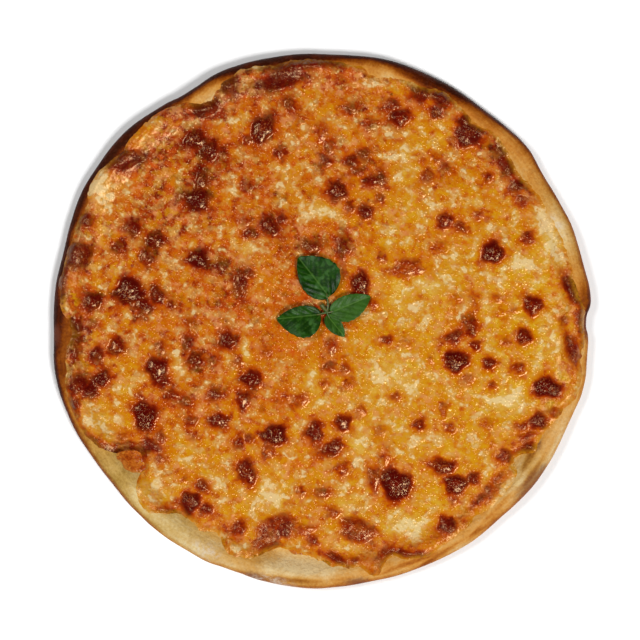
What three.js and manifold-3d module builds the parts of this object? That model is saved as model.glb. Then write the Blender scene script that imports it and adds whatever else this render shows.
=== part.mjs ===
// A whole baked margherita pizza: a thin dough disc with a low raised rim, tomato sauce spread on it,
// melted mozzarella with toasted blisters over the sauce, and a sprig of basil laid on the middle.
// Millimetres, +Z up. The origin is on the board, under the middle of the base.
import * as THREE from "three";
import { mergeVertices } from "three/addons/utils/BufferGeometryUtils.js";
import Module from "manifold-3d";

const wasm = await Module();
wasm.setup();

// Driving sizes.
const PIZZA_RADIUS = 152.6; // mean radius of the uneven outline
const FLOOR = 4.0; // dough under the toppings
const CREST = 10.6; // top of the rim above the board
const EQUATOR = 4.8; // height at which the rim is widest
const CREST_INSET = 6.5; // the crest stands this far in from the edge
const RIM_WIDTH = 20; // from the edge to where the dough floor begins
const UNDER_CURL = 9; // width of the rounded edge of the underside
const SAUCE = 0.9; // thickness of the tomato sauce
const SAUCE_REACH = 131; // mean radius of the sauce
const MELT = 2.2; // thickness of the melted cheese
const MELT_REACH = 145; // mean radius of the cheese
const MELT_STOP = 1.6; // the cheese comes no nearer than this to the edge of the dough
const MELT_LIP = 4.5; // width over which the cheese rounds down to its edge
const EDGE_SHARE = 0.3; // share of its thickness that the cheese keeps at its very edge
const RIM_SKIN = 1.2; // thickness of the cheese where it ran up over the rim
const GAP = 0.3; // clearance between layers that touch
const SINK = 0.8; // a raw layer reaches this far into the dough before the dough cuts it
const LEAF = 0.6; // thickness of a basil leaf
const LEAF_LIFT = 0.9; // least height of a leaf's midrib above the cheese

// Each row is [bearing in degrees anticlockwise from +X, size in mm, half-width in degrees].
// Swells and dents of the hand-stretched outline.
const EDGE_SWELLS = [
  [0, -2.2, 2.5], [6, 1.2, 4], [30, -1.2, 8], [41, 0.8, 4], [55, -0.8, 6], [71, 0.8, 6], [109, 1.2, 6],
  [120, -1.6, 4], [144, 3.2, 13], [196, 2.4, 11], [214, -1.4, 8], [230, -0.8, 5], [250, -1.6, 4],
  [286, -1.2, 12], [310, -0.9, 5], [346, 1.1, 4],
];
// Air bubbles and dips along the top of the rim.
const RIM_BUBBLES = [
  [14, 1.0, 7], [33, -0.8, 6], [52, 0.6, 6], [88, -0.7, 9], [118, 0.9, 5], [150, -1.0, 9], [182, 0.7, 6],
  [205, -0.8, 6], [222, 0.9, 7], [243, -0.6, 5], [262, 1.2, 9], [290, -0.7, 8], [319, 0.9, 6], [344, -1.0, 7],
];
// Lobes where the cheese ran over the rim, and bays where it stopped short and the bare rim shows.
const MELT_LOBES = [
  [24, -5.0, 12], [37, -5.0, 5], [52, -3.5, 2.2], [61, 1.6, 4], [78, -4.0, 2], [92, 4.0, 8], [106, 5.0, 4],
  [118, -4.5, 3], [131, 6.5, 8], [148, 8.5, 5], [168, 6.5, 10], [182, -3.5, 3], [199, 7.5, 7],
  [217, -13, 4.5], [227, 3.0, 3], [236, -10, 4.5], [239.6, 3.2, 1.1], [243.5, -8, 3], [262.5, -12.5, 8.5],
  [276, -2.5, 3.5], [282, 4.0, 2], [286, -5.0, 2.2], [293, 1.5, 3], [312, -2.5, 10], [325, -9.0, 2.5],
  [332, -4.0, 3], [346, 8.5, 4.5], [358, 5.0, 6],
];
// Tongues where the sauce ran out from under the cheese.
const SAUCE_TONGUES = [
  [57, 10, 4], [113, 13, 5], [190, 14, 6], [215.5, 11, 3.2], [240, 5, 1.6], [266, 4, 4], [330, 8, 5],
];
// The larger toasted blisters of the cheese: [x, y, half-length, half-width, turn in degrees].
const BLISTERS = [
  [-72, 103, 7, 6, 0], [-64, 96, 5, 4.5, 0], [-71, 70, 6, 6, 0], [-69, 80, 6, 3, 80],
  [-109, 52, 5, 4.5, 0], [-95, 46, 5.5, 4, -30], [-100, 36, 4.5, 3.5, 90],
  [-70, 35, 6, 5.5, 60], [-33, 107, 9, 6.5, 60], [-20, 137, 13, 5.5, 25], [17, 91, 4, 3.5, -40],
  [8, 74, 5.5, 4.5, -60], [26, 62, 5, 4, 35], [42, 118, 7.5, 6, -50], [-30, 54, 5, 4.5, 0],
  [-40, 50, 5, 3.5, 30], [65, 125, 7, 5, -30], [82, 107, 8.5, 6.5, 80], [70, 57, 4.5, 4.5, 0],
  [76, 54, 5, 3, -20], [97, 38, 6.5, 6, 0], [50, 30, 10, 4.5, 12], [-138, 38, 8, 6.5, 90],
  [-131, 12, 5, 5, 0], [-109, 16, 8, 7, 0], [-98, 12, 7, 5, -10], [-117, -14, 5, 4.2, 90],
  [-73, -21, 6, 4.5, -30], [-125, -32, 7, 5, 20], [-137, -37, 7, 6, 0], [-93, -28, 7, 5.5, 90],
  [-101, -55, 9, 6.5, 90], [-46, 22, 5.5, 3.2, 90], [22, 22, 6, 5, 90],
  [-41, -33, 5.5, 5, 0], [-45, -46, 5, 3.5, 90], [142, 18, 6.5, 3.5, 115], [120, 8, 6, 5, -40],
  [116, -8, 5, 4.5, 0], [85, -2, 4.5, 3.5, 90], [76, -23, 7, 6, 0], [94, -24, 4.5, 3.2, 15],
  [127, -38, 9, 6, 0], [143, -16, 7.5, 4, 90], [-95, -70, 7, 4.5, -30], [-57, -58, 6, 3.5, 0],
  [-73, -103, 7, 5, 0], [-28, -66, 7, 6.5, 0], [-5, -63, 5.5, 4.8, 90], [12, -58, 4.8, 4.5, 0],
  [7, -72, 6, 3.5, 15], [-43, -87, 6.5, 4, 90], [42, -94, 10, 7.5, -50], [-28, -119, 11, 6, 42],
  [22, -119, 10, 7, -20], [55, -58, 4.5, 4, 0], [69, -86, 8, 5, -60], [84, -90, 5, 4.5, 0],
  [71, -116, 5.5, 5, 0], [125, -56, 6, 4.5, 0], [118, -72, 7.5, 3, 20], [103, -78, 4.5, 3.5, 0],
  [9, -136, 7, 2.4, -35],
];
const BLISTER_RISE = 2.1; // a large blister stands this far out of the cheese

// The basil sprig: two crossed pairs of leaves on one short stem.
const SPRIG_NODE = [3, 5.2]; // where the leaf stalks meet
const SPRIG_LEAVES = [
  { base: [4.2, 13.5], bearing: 128, length: 29, left: 9, right: 14.5, rise: 3.0, fold: 0.14 },
  { base: [-0.4, 3.8], bearing: 186, length: 25.7, left: 12.3, right: 6, rise: 2.6, fold: 0.26 },
  { base: [4.6, 4.6], bearing: 22.5, length: 25, left: 6, right: 8.8, rise: 2.8, fold: 0.12 },
  { base: [2.8, 3.4], bearing: -51, length: 16, left: 4.1, right: 4.6, rise: 2.2, fold: 0.22 },
];

const UP = new THREE.Vector3(0, 0, 1);
const radians = THREE.MathUtils.degToRad;

// Sum of flat-topped swells at a bearing.
function swells(bearing, rows) {
  return rows.reduce((sum, [at, size, halfWidth]) => {
    const off = ((bearing - at + 540) % 360) - 180;
    return sum + size / (1 + (off / halfWidth) ** 4);
  }, 0);
}

const wave = (bearing, turns, shift) => Math.sin(radians(bearing * turns + shift));
const pizzaEdge = (bearing) => PIZZA_RADIUS + swells(bearing, EDGE_SWELLS) + 0.3 * wave(bearing, 19, 40);
const sauceEdge = (bearing) => SAUCE_REACH + swells(bearing, SAUCE_TONGUES) + 0.8 * wave(bearing, 17, 10);
const meltEdge = (bearing) => {
  const ragged = 0.6 * wave(bearing, 23, 60) + 0.4 * wave(bearing, 37, 0);
  return Math.min(pizzaEdge(bearing) - MELT_STOP, MELT_REACH + swells(bearing, MELT_LOBES) + ragged);
};

// Height of the top of the dough, a given distance in from the outline.
function doughTop(bearing, inset) {
  const crest = CREST + swells(bearing, RIM_BUBBLES);
  if (inset < CREST_INSET) {
    const out = 1 - Math.max(0, inset) / CREST_INSET;
    return EQUATOR + (crest - EQUATOR) * Math.sqrt(1 - out * out);
  }
  const down = Math.min(1, (inset - CREST_INSET) / (RIM_WIDTH - CREST_INSET));
  return FLOOR + (crest - FLOOR) * 0.5 * (1 + Math.cos(Math.PI * down));
}

// Height of the underside of the dough, which curls up to the edge.
function doughUnder(inset) {
  const out = 1 - Math.min(inset, UNDER_CURL) / UNDER_CURL;
  return EQUATOR * (1 - Math.sqrt(1 - out * out));
}

// Gentle unevenness of the melted cheese.
function lumps(x, y) {
  const small = Math.sin(x / 11 + 1.3) * Math.sin(y / 9 + 0.4);
  const broad = Math.sin((x + y) / 17) * Math.sin((x - y) / 14 + 2);
  return 0.4 * small + 0.3 * broad;
}

// Height of the top of the cheese, a given distance in from its own edge.
function meltTop(bearing, fromEdge) {
  const reach = meltEdge(bearing) - fromEdge;
  const inset = pizzaEdge(bearing) - reach;
  const out = 1 - Math.min(fromEdge, MELT_LIP) / MELT_LIP;
  const lip = Math.sqrt(1 - out * out);
  const lump = lumps(reach * Math.cos(radians(bearing)), reach * Math.sin(radians(bearing)));
  const inner = THREE.MathUtils.smoothstep(inset, 2, RIM_WIDTH);
  const thick = THREE.MathUtils.lerp(RIM_SKIN, MELT + SAUCE + GAP + lump, inner);
  return doughTop(bearing, inset) + GAP + thick * (EDGE_SHARE + (1 - EDGE_SHARE) * lip);
}
const SEAT = meltTop(0, meltEdge(0)); // top of the cheese at the middle, where the basil lies

// A closed ring of points; place(bearing) gives its [radius, height]. One point makes a pole.
function ring(count, place) {
  return Array.from({ length: count }, (_, i) => {
    const bearing = (i * 360) / count;
    const [radius, height] = place(bearing);
    const turn = radians(bearing);
    return new THREE.Vector3(radius * Math.cos(turn), radius * Math.sin(turn), height);
  });
}
const pole = (height) => [new THREE.Vector3(0, 0, height)];

// Triangles between two rings that may have different numbers of points.
function stitch(a, b, points) {
  const stepsA = a.length > 1 ? a.length : 0;
  const stepsB = b.length > 1 ? b.length : 0;
  let i = 0;
  let j = 0;
  while (i < stepsA || j < stepsB) {
    if (j >= stepsB || (i < stepsA && (i + 1) / stepsA <= (j + 1) / stepsB)) {
      points.push(a[i], a[(i + 1) % a.length], b[j % b.length]);
      i += 1;
    } else {
      points.push(b[j], a[i % a.length], b[(j + 1) % b.length]);
      j += 1;
    }
  }
}

// A closed body from rings in order: up from the pole underneath, round the edge and in to the top pole.
function shell(rings) {
  const points = [];
  rings.slice(1).forEach((next, i) => stitch(rings[i], next, points));
  return new THREE.BufferGeometry().setFromPoints(points);
}

function solidOf(geometry) {
  const bare = geometry.clone();
  bare.deleteAttribute("normal");
  bare.deleteAttribute("uv");
  const merged = mergeVertices(bare, 1e-4);
  return new wasm.Manifold(
    new wasm.Mesh({
      numProp: 3,
      vertProperties: new Float32Array(merged.attributes.position.array),
      triVerts: new Uint32Array(merged.index.array),
    }),
  );
}

// The largest body of a solid as a geometry; scraps left by a cut are dropped.
function geometryOf(solid) {
  const [largest] = solid.decompose().sort((a, b) => b.volume() - a.volume());
  const mesh = largest.getMesh();
  return new THREE.BufferGeometry()
    .setAttribute("position", new THREE.BufferAttribute(new Float32Array(mesh.vertProperties), 3))
    .setIndex(new THREE.BufferAttribute(new Uint32Array(mesh.triVerts), 1));
}

function named(name, geometry, colour, roughness) {
  geometry.computeVertexNormals();
  const material = new THREE.MeshStandardMaterial({ color: colour, roughness, metalness: 0 });
  const mesh = new THREE.Mesh(geometry, material);
  mesh.name = name;
  return mesh;
}

// Dough: flat underneath, curled up at the edge, with a rounded rim and a flat floor.
function doughShell() {
  const POINTS = 96;
  const base = ring(32, () => [90, 0]);
  const under = [UNDER_CURL, 4, 1].map((inset) =>
    ring(POINTS, (b) => [pizzaEdge(b) - inset, doughUnder(inset)]),
  );
  const rim = [0.1, 1.4, 3.8, CREST_INSET + 0.6, 11, 15.5, RIM_WIDTH].map((inset) =>
    ring(POINTS, (b) => [pizzaEdge(b) - inset, doughTop(b, inset)]),
  );
  const floor = ring(32, () => [80, FLOOR]);
  return shell([pole(0), base, ...under, ...rim, floor, pole(FLOOR)]);
}

// Sauce: a thin sheet; its raw underside is sunk in the dough, which then cuts it. A room of the
// same form but larger all round by clear is cut out of the cheese.
function sauceShell(clear) {
  const POINTS = 72;
  const edge = (b) => sauceEdge(b) + clear;
  const height = (b, fromEdge) => doughTop(b, pizzaEdge(b) - edge(b) + fromEdge) + GAP + SAUCE + clear;
  const sunk = ring(POINTS, (b) => [edge(b), FLOOR - SINK]);
  const lowered = ring(POINTS, (b) => [edge(b), height(b, 0) - 0.4 * SAUCE]);
  const top = [0.6, 7].map((d) => ring(POINTS, (b) => [edge(b) - d, height(b, d)]));
  const middle = ring(32, () => [80, FLOOR + GAP + SAUCE + clear]);
  return shell([pole(FLOOR - SINK), sunk, lowered, ...top, middle, pole(FLOOR + GAP + SAUCE + clear)]);
}

// Cheese: an uneven sheet with a rounded lip; its raw underside is sunk in the dough as well.
function meltShell() {
  const POINTS = 144;
  const edge = (count, fromEdge) => ring(count, (b) => [meltEdge(b) - fromEdge, meltTop(b, fromEdge)]);
  const sunk = ring(POINTS, (b) => [meltEdge(b), FLOOR - SINK]);
  const lip = [0, 1.4, MELT_LIP].map((fromEdge) => edge(POINTS, fromEdge));
  const sheet = [[120, 9], [100, 15], [84, 22], [72, 32]].map(([count, fromEdge]) => edge(count, fromEdge));
  const middle = [[60, 96], [48, 80], [36, 62], [24, 42], [12, 22]].map(([count, radius]) =>
    ring(count, (b) => [radius, meltTop(b, meltEdge(b) - radius)]),
  );
  return shell([pole(FLOOR - SINK), sunk, ...lip, ...sheet, ...middle, pole(SEAT)]);
}

// Height of the top of the cheese at a place; past its edge it is the height of the lip.
function meltAt(x, y) {
  const bearing = THREE.MathUtils.radToDeg(Math.atan2(y, x));
  return meltTop(bearing, Math.max(0.5 * MELT_LIP, meltEdge(bearing) - Math.hypot(x, y)));
}

// One blister: a low dome with a lopsided outline that follows the cheese under it, its rim sunk in it.
function blister([x, y, halfLength, halfWidth, turn]) {
  const rise = BLISTER_RISE * Math.min(1.25, Math.sqrt(halfWidth / 5));
  const large = halfLength > 6;
  const shoulder = large ? [[0.86, 0.42], [0.5, 0.88]] : [[0.72, 0.68]];
  const profile = [[0, -1.2], [1, -0.35], ...shoulder, [0, 1]].map((corner) => new THREE.Vector2(...corner));
  const dome = new THREE.LatheGeometry(profile, large ? 10 : 7);
  dome.rotateX(Math.PI / 2);
  const corner = dome.getAttribute("position");
  const point = new THREE.Vector3();
  for (let i = 0; i < corner.count; i += 1) {
    point.fromBufferAttribute(corner, i);
    const round = Math.atan2(point.y, point.x);
    const lopsided = 1 + 0.1 * Math.sin(3 * round + x) + 0.07 * Math.sin(5 * round + y);
    const up = point.z > 0 ? point.z * rise : point.z;
    point.set(point.x * halfLength * lopsided, point.y * halfWidth * lopsided, 0);
    point.applyAxisAngle(UP, radians(turn));
    corner.setXYZ(i, x + point.x, y + point.y, meltAt(x + point.x, y + point.y) + up);
  }
  return solidOf(dome);
}

// Half-width of a pointed oval leaf, as a share of its widest, at a share of its length.
function ovate(along) {
  const BASE_POWER = 0.55;
  const TIP_POWER = 0.85;
  const widest = BASE_POWER / (BASE_POWER + TIP_POWER);
  const shape = (t) => t ** BASE_POWER * (1 - t) ** TIP_POWER;
  return shape(along) / shape(widest);
}

// Height of a blade over the cheese: arched along the midrib, folded up to each side, wavy at the margin.
function bladeHeight({ rise, fold }, along, side, halfWidth) {
  const arch = rise * Math.sin(Math.PI * (0.12 + 0.8 * along));
  const ruffle = 0.35 * Math.sin(13 * along + 2 * side) * Math.abs(side);
  return LEAF_LIFT + arch + fold * Math.abs(side) * halfWidth + ruffle;
}

// One leaf: a thin closed blade; both faces are split into triangles alike.
function leafBlade(leaf) {
  const ROWS = 8;
  const ACROSS = 4;
  const WIDE = ACROSS + 1;
  const BLUNT = 0.015; // share of the length by which each end of the blade is cut off
  const upper = [];
  const lower = [];
  for (let i = 0; i <= ROWS; i += 1) {
    const along = THREE.MathUtils.lerp(BLUNT, 1 - BLUNT, i / ROWS);
    for (let j = 0; j <= ACROSS; j += 1) {
      const side = (2 * j) / ACROSS - 1;
      const halfWidth = (side < 0 ? leaf.right : leaf.left) * ovate(along);
      const height = SEAT + bladeHeight(leaf, along, side, halfWidth);
      const point = new THREE.Vector3(along * leaf.length, side * halfWidth, height);
      point.applyAxisAngle(UP, radians(leaf.bearing));
      point.add(new THREE.Vector3(...leaf.base, 0));
      upper.push(point.clone().setZ(point.z + LEAF / 2));
      lower.push(point.clone().setZ(point.z - LEAF / 2));
    }
  }
  const points = [];
  const quad = (a, b, c, d) => points.push(a, b, c, a, c, d);
  for (let i = 0; i < ROWS; i += 1) {
    for (let j = 0; j < ACROSS; j += 1) {
      const near = i * WIDE + j;
      const far = near + WIDE;
      quad(upper[near], upper[far], upper[far + 1], upper[near + 1]);
      points.push(lower[near], lower[far + 1], lower[far], lower[near], lower[near + 1], lower[far + 1]);
    }
  }
  for (let j = 0; j < ACROSS; j += 1) {
    const last = ROWS * WIDE;
    quad(lower[j], upper[j], upper[j + 1], lower[j + 1]);
    quad(lower[last + j + 1], upper[last + j + 1], upper[last + j], lower[last + j]);
  }
  for (let i = 0; i < ROWS; i += 1) {
    const [p, q] = [i * WIDE, (i + 1) * WIDE];
    quad(lower[q], upper[q], upper[p], lower[p]);
    quad(lower[p + ACROSS], upper[p + ACROSS], upper[q + ACROSS], lower[q + ACROSS]);
  }
  return solidOf(new THREE.BufferGeometry().setFromPoints(points));
}

// A round stalk along a bent line.
function stalk(points, radius) {
  const line = new THREE.CatmullRomCurve3(points.map((p) => new THREE.Vector3(...p)));
  const section = new THREE.Shape().absarc(0, 0, radius, 0, 2 * Math.PI);
  const settings = { steps: 3, curveSegments: 3, bevelEnabled: false, extrudePath: line };
  return solidOf(new THREE.ExtrudeGeometry(section, settings));
}

// The sprig as one solid: blades, their stalks and the short stem that they grow from.
function basilSprig() {
  const STEM_RADIUS = 1.05;
  const STALK_RADIUS = 0.6;
  const INTO_BLADE = 2.6; // a stalk runs this far into its blade
  const [nodeX, nodeY] = SPRIG_NODE;
  const node = [nodeX, nodeY, SEAT + 1.9];
  const bud = [nodeX + 0.4, nodeY - 0.6, SEAT + 2.4];
  const cutEnd = [nodeX - 4, nodeY + 4.4, SEAT + 1.5];
  let sprig = stalk([bud, node, cutEnd], STEM_RADIUS);
  for (const leaf of SPRIG_LEAVES) {
    const [baseX, baseY] = leaf.base;
    const turn = radians(leaf.bearing);
    const bend = [(nodeX + baseX) / 2, (nodeY + baseY) / 2, SEAT + 2.1];
    const joint = [
      baseX + INTO_BLADE * Math.cos(turn),
      baseY + INTO_BLADE * Math.sin(turn),
      SEAT + bladeHeight(leaf, INTO_BLADE / leaf.length, 0, 0),
    ];
    sprig = sprig.add(leafBlade(leaf)).add(stalk([node, bend, joint], STALK_RADIUS));
  }
  return sprig;
}

const dough = solidOf(doughShell());
const doughAndGap = dough.translate([0, 0, GAP]);
const sauce = solidOf(sauceShell(0)).subtract(doughAndGap);
let cheese = solidOf(meltShell());
for (const row of BLISTERS) cheese = cheese.add(blister(row));
cheese = cheese.subtract(doughAndGap).subtract(solidOf(sauceShell(GAP)));

const pizza = new THREE.Group();
pizza.name = "margherita_pizza";
pizza.add(named("crust", geometryOf(dough), 0xd9a866, 0.8));
pizza.add(named("tomato_sauce", geometryOf(sauce), 0xb5400f, 0.5));
pizza.add(named("mozzarella", geometryOf(cheese), 0xd8953a, 0.35));
pizza.add(named("basil_sprig", geometryOf(basilSprig()), 0x2f6b24, 0.45));

export default pizza;
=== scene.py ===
"""A whole baked margherita pizza: dough, tomato sauce, melted mozzarella and a sprig of basil.

Shapes are worked out in millimetres and become metres when they are written into a mesh.
"""
import math
import bmesh
import bpy
import numpy as np
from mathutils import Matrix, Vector, kdtree, noise


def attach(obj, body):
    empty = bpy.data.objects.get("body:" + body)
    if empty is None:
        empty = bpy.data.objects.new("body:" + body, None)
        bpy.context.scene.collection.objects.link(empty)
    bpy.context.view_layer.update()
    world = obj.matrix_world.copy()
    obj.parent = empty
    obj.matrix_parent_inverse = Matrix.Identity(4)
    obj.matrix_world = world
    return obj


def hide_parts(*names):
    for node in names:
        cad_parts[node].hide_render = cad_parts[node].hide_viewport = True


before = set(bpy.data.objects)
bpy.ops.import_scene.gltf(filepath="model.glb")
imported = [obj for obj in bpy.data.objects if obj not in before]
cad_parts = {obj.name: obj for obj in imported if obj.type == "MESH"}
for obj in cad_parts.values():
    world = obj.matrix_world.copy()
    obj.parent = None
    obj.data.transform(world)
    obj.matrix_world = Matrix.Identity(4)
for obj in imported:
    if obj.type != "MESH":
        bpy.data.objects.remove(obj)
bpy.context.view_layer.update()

# ---- Dough -----------------------------------------------------------------------------------
# A ball of wheat dough stretched by hand to a thin disc and baked on a hot stone. The bare rim puffs
# up a little and browns from its outer edge; the underside lies flat and takes dark spots.
PIZZA_RADIUS = 152.6
FLOOR = 4.0  # dough under the toppings
CREST = 10.6  # top of the rim over the table
CREST_INSET = 6.5  # how far in from the outline the crest lies
EQUATOR = 4.8  # height at which the rim is widest
RIM_WIDTH = 20
UNDER_CURL = 9.0  # how far in the underside leaves the table
BROWN_AND_SHADE_FADE = 5.6  # how far in the browning and painted shade of the outer wall fade
STAIN_WIDTH = 7  # how far past the cheese its oil runs
# Swells of the outline: bearing in degrees anticlockwise from +X, size in mm, half-width in degrees.
EDGE_SWELLS = [
    (0, -2.2, 2.5), (6, 1.2, 4), (30, -1.2, 8), (41, 0.8, 4), (55, -0.8, 6), (71, 0.8, 6), (109, 1.2, 6),
    (120, -1.6, 4), (144, 3.2, 13), (196, 2.4, 11), (214, -1.4, 8), (230, -0.8, 5), (250, -1.6, 4),
    (286, -1.2, 12), (310, -0.9, 5), (346, 1.1, 4),
]
# The same, for how far the crest of the rim rises or sinks.
RIM_BUBBLES = [
    (14, 1.0, 7), (33, -0.8, 6), (52, 0.6, 6), (88, -0.7, 9), (118, 0.9, 5), (150, -1.0, 9),
    (182, 0.7, 6), (205, -0.8, 6), (222, 0.9, 7), (243, -0.6, 5), (262, 1.2, 9), (290, -0.7, 8),
    (319, 0.9, 6), (344, -1.0, 7),
]
# The same, for how much darker (or, below nought, paler) the outer wall of the rim is painted: baked brown,
# and at the top and left also painted shade on the side away from the lamps.
RIM_BROWNING_AND_SHADE = [
    (97, 0.66, 48), (45, 0.12, 9), (135, 0.14, 7), (168, 0.5, 26), (197, 0.2, 8), (212, 0.14, 8),
    (226, 0.08, 6), (240, -0.14, 8), (270, 0.04, 8), (310, 0.1, 5), (330, -0.12, 6), (346, -0.1, 6),
    (1, 0.2, 6), (15, 0.04, 6),
]
# The same, for how floury and grey-yellow the dough is there, 0 to 1.
RIM_RAW = [(226, 1.0, 20), (324, 0.5, 5), (262, 0.3, 8), (22, 0.4, 9)]
# Burnt patches and dustings of flour on the bare rim: x, y and radii in mm, then any turn in degrees.
RIM_BURNS = [
    (119, -93, 12, 4.5, 50), (125, -86, 5, 3, 60), (20, -148, 6, 2, 5), (-38, -145, 6, 2, -15),
    (-151, -8, 5, 2, 90), (151, -4, 7, 2, 90), (122, -71, 4, 2.4, 50),
]
RIM_FLOUR = [(-66, -131, 9, 4, -28), (-30, -149, 12, 4, -10), (133, 54, 6, 3, 115)]
# Stretches of the inner slope painted nearly white: partly dough that stayed pale, partly painted light
# where the slope lies in shade from the lamps.
RIM_PALE_AND_LIT = [
    (-8, -139, 26, 6, 3), (40, 138, 14, 4, -22), (-66, 128, 9, 6, 30), (-100, -104, 12, 5, -45),
    (102, -103, 16, 2, 50), (134, 50, 12, 6, 113), (80, -128, 16, 2.5, 30), (133, -72, 14, 2, 62),
    (2, -140, 12, 6, 5),
]
# Stretches of the rim where the brown reaches further in.
RIM_TOASTED = [
    (-146, -8, 26, 5, 92), (-112, 102, 26, 5, 42), (-143, 62, 14, 5, 65), (-25, 147, 40, 5, 8),
    (64, 134, 22, 5, -25), (149, 8, 12, 4, 92), (118, -78, 7, 2, 60), (98, -108, 14, 1.6, 47),
    (52, -137, 18, 1.6, 20), (-10, 149, 16, 2.5), (-95, 117, 12, 3, 38), (-120, 97, 9, 3, 45),
    (-147, 36, 8, 3, 75), (84, 127, 7, 2, -35), (-108, 104, 30, 5, 44), (-139, 66, 16, 4, 65),
    (72, -130, 16, 1.4, 30), (120, -86, 10, 1.4, 55), (88, -120, 12, 1.2, 40), (64, -140, 12, 1.6, 24),
    (-18, -147, 14, 1.6, -6),
]
# The outline of the cheese, whose oil stains the dough: a circle with swells of the same kind.
MELT_REACH = 145
MELT_STOP = 1.6  # the narrowest band of dough that is left bare
MELT_LOBES = [
    (23, -1.5, 8), (36, -4.5, 6), (52, -3.5, 2.2), (61, 1.6, 4), (78, -4.0, 2), (92, 4.0, 8),
    (106, 5.0, 4), (118, -4.5, 3), (131, 6.5, 8), (148, 8.5, 5), (168, 6.5, 10), (182, -3.5, 3),
    (199, 7.5, 7), (217, -16, 3.6), (227, 3.0, 3), (236, -10, 4.5), (240, 2.5, 2.2), (243.5, -8, 3),
    (262.5, -12.5, 8.5), (276, -2.5, 3.5), (282, 4.0, 2), (286, -5.0, 2.2), (293, 1.5, 3),
    (312, -2.5, 10), (325, -9.0, 2.5), (332, -4.0, 3), (346, 8.5, 4.5), (358, 5.0, 6),
]


def swells(bearing, rows):
    total = np.zeros_like(bearing)
    for at, size, half_width in rows:
        off = (bearing - at + 540) % 360 - 180
        total += size / (1 + (off / half_width) ** 4)
    return total


def wave(bearing, turns, shift):
    return np.sin(np.radians(bearing * turns + shift))


def around(bearing, reach):
    """X and Y at a bearing in degrees and a reach from the middle."""
    turn = np.radians(bearing)
    return reach * np.cos(turn), reach * np.sin(turn)


def pizza_edge(bearing):
    return PIZZA_RADIUS + swells(bearing, EDGE_SWELLS) + 0.3 * wave(bearing, 19, 40)


def melt_edge(bearing):
    """How far the cheese reaches, but for its smallest teeth."""
    ragged = 0.6 * wave(bearing, 23, 60) + 0.4 * wave(bearing, 37, 0)
    return np.minimum(pizza_edge(bearing) - MELT_STOP, MELT_REACH + swells(bearing, MELT_LOBES) + ragged)


def dough_top(bearing, inset):
    """Height of the top of the dough, a given distance in from the outline."""
    crest = CREST + swells(bearing, RIM_BUBBLES)
    out = np.clip(1 - inset / CREST_INSET, 0, 1)
    wall = EQUATOR + (crest - EQUATOR) * np.sqrt(1 - out**2)
    down = np.clip((inset - CREST_INSET) / (RIM_WIDTH - CREST_INSET), 0, 1)
    slope = FLOOR + (crest - FLOOR) * 0.5 * (1 + np.cos(np.pi * down))
    return np.where(inset < CREST_INSET, wall, slope)


def dough_under(inset):
    out = 1 - np.clip(inset / UNDER_CURL, 0, 1)
    return EQUATOR * (1 - np.sqrt(1 - out**2))


def smooth(low, high, value):
    """0 at low, 1 at high and an even bend between them."""
    t = np.clip((value - low) / (high - low), 0, 1)
    return t * t * (3 - 2 * t)


def in_oval(x, y, at_x, at_y, long, short, turned=0):
    """How far places lie along and across an oval, as shares of its two radii."""
    cos, sin = math.cos(math.radians(turned)), math.sin(math.radians(turned))
    dx, dy = x - at_x, y - at_y
    return (dx * cos + dy * sin) / long, (dy * cos - dx * sin) / short


def patches(x, y, ovals):
    """0 to 1: how far a place lies inside any of the soft-edged ovals."""
    most = np.zeros_like(x)
    for oval in ovals:
        most = np.maximum(most, smooth(1.6, 0.4, np.hypot(*in_oval(x, y, *oval))))
    return most


def spun_disc(profile, steps):
    """A closed disc: a profile of (reach, height) corners, from axis to axis, turned once round Z."""
    turned = bmesh.new()
    corners = [turned.verts.new((reach, 0, height)) for reach, height in profile]
    edges = [turned.edges.new(pair) for pair in zip(corners, corners[1:])]
    bmesh.ops.spin(
        turned, geom=corners + edges, axis=(0, 0, 1), cent=(0, 0, 0), angle=2 * math.pi, steps=steps,
        use_merge=True,
    )
    bmesh.ops.remove_doubles(turned, verts=turned.verts, dist=1e-4)
    bmesh.ops.recalc_face_normals(turned, faces=turned.faces)
    return turned


def piece_from(shape, name):
    """An object with the bmesh's form, still in millimetres."""
    mesh = bpy.data.meshes.new(name)
    shape.to_mesh(mesh)
    shape.free()
    mesh.shade_smooth()
    piece = bpy.data.objects.new(name, mesh)
    bpy.context.scene.collection.objects.link(piece)
    return piece


def corners_of(piece):
    spots = np.empty(3 * len(piece.data.vertices))
    piece.data.vertices.foreach_get("co", spots)
    return spots.reshape(-1, 3)


def polar(spots):
    """The bearing in degrees and the reach from the middle of each place."""
    return np.degrees(np.arctan2(spots[:, 1], spots[:, 0])), np.hypot(spots[:, 0], spots[:, 1])


def move_corners(piece, spots):
    piece.data.vertices.foreach_set("co", np.ascontiguousarray(spots, dtype=float).ravel())
    piece.data.update()


def rough(spots, size, octaves=3):
    """Fractal noise of about -1 to 1 at each place, for lumps of the given size."""
    return np.array([noise.fractal(Vector(spot / size), 1.0, 2.0, octaves) for spot in spots])


def dough_lumps(x, y, height, inset):
    """How far the uneven skin of the rim stands out at each place."""
    spots = np.column_stack([x, y, height])
    folds = rough(np.column_stack([x / 14, y / 14, inset / 3.5]), 1, 1)
    uneven = 0.4 * rough(spots, 18, 1) + 0.1 * folds + 0.05 * rough(spots + 50, 5, 1)
    return smooth(RIM_WIDTH + 4, 12, inset) * uneven


def lump_out(piece, amount):
    """Moves each corner out along its normal by its own amount."""
    normals = np.empty(3 * len(piece.data.vertices))
    piece.data.vertices.foreach_get("normal", normals)
    move_corners(piece, corners_of(piece) + normals.reshape(-1, 3) * amount[:, None])


def give(piece, **values):
    """Stores one number a corner under each name, for the material to read."""
    for name, numbers in values.items():
        layer = piece.data.attributes.new(name, "FLOAT", "POINT")
        layer.data.foreach_set("value", np.asarray(numbers, dtype=float))


def to_metres(piece):
    move_corners(piece, corners_of(piece) * 0.001)


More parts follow.
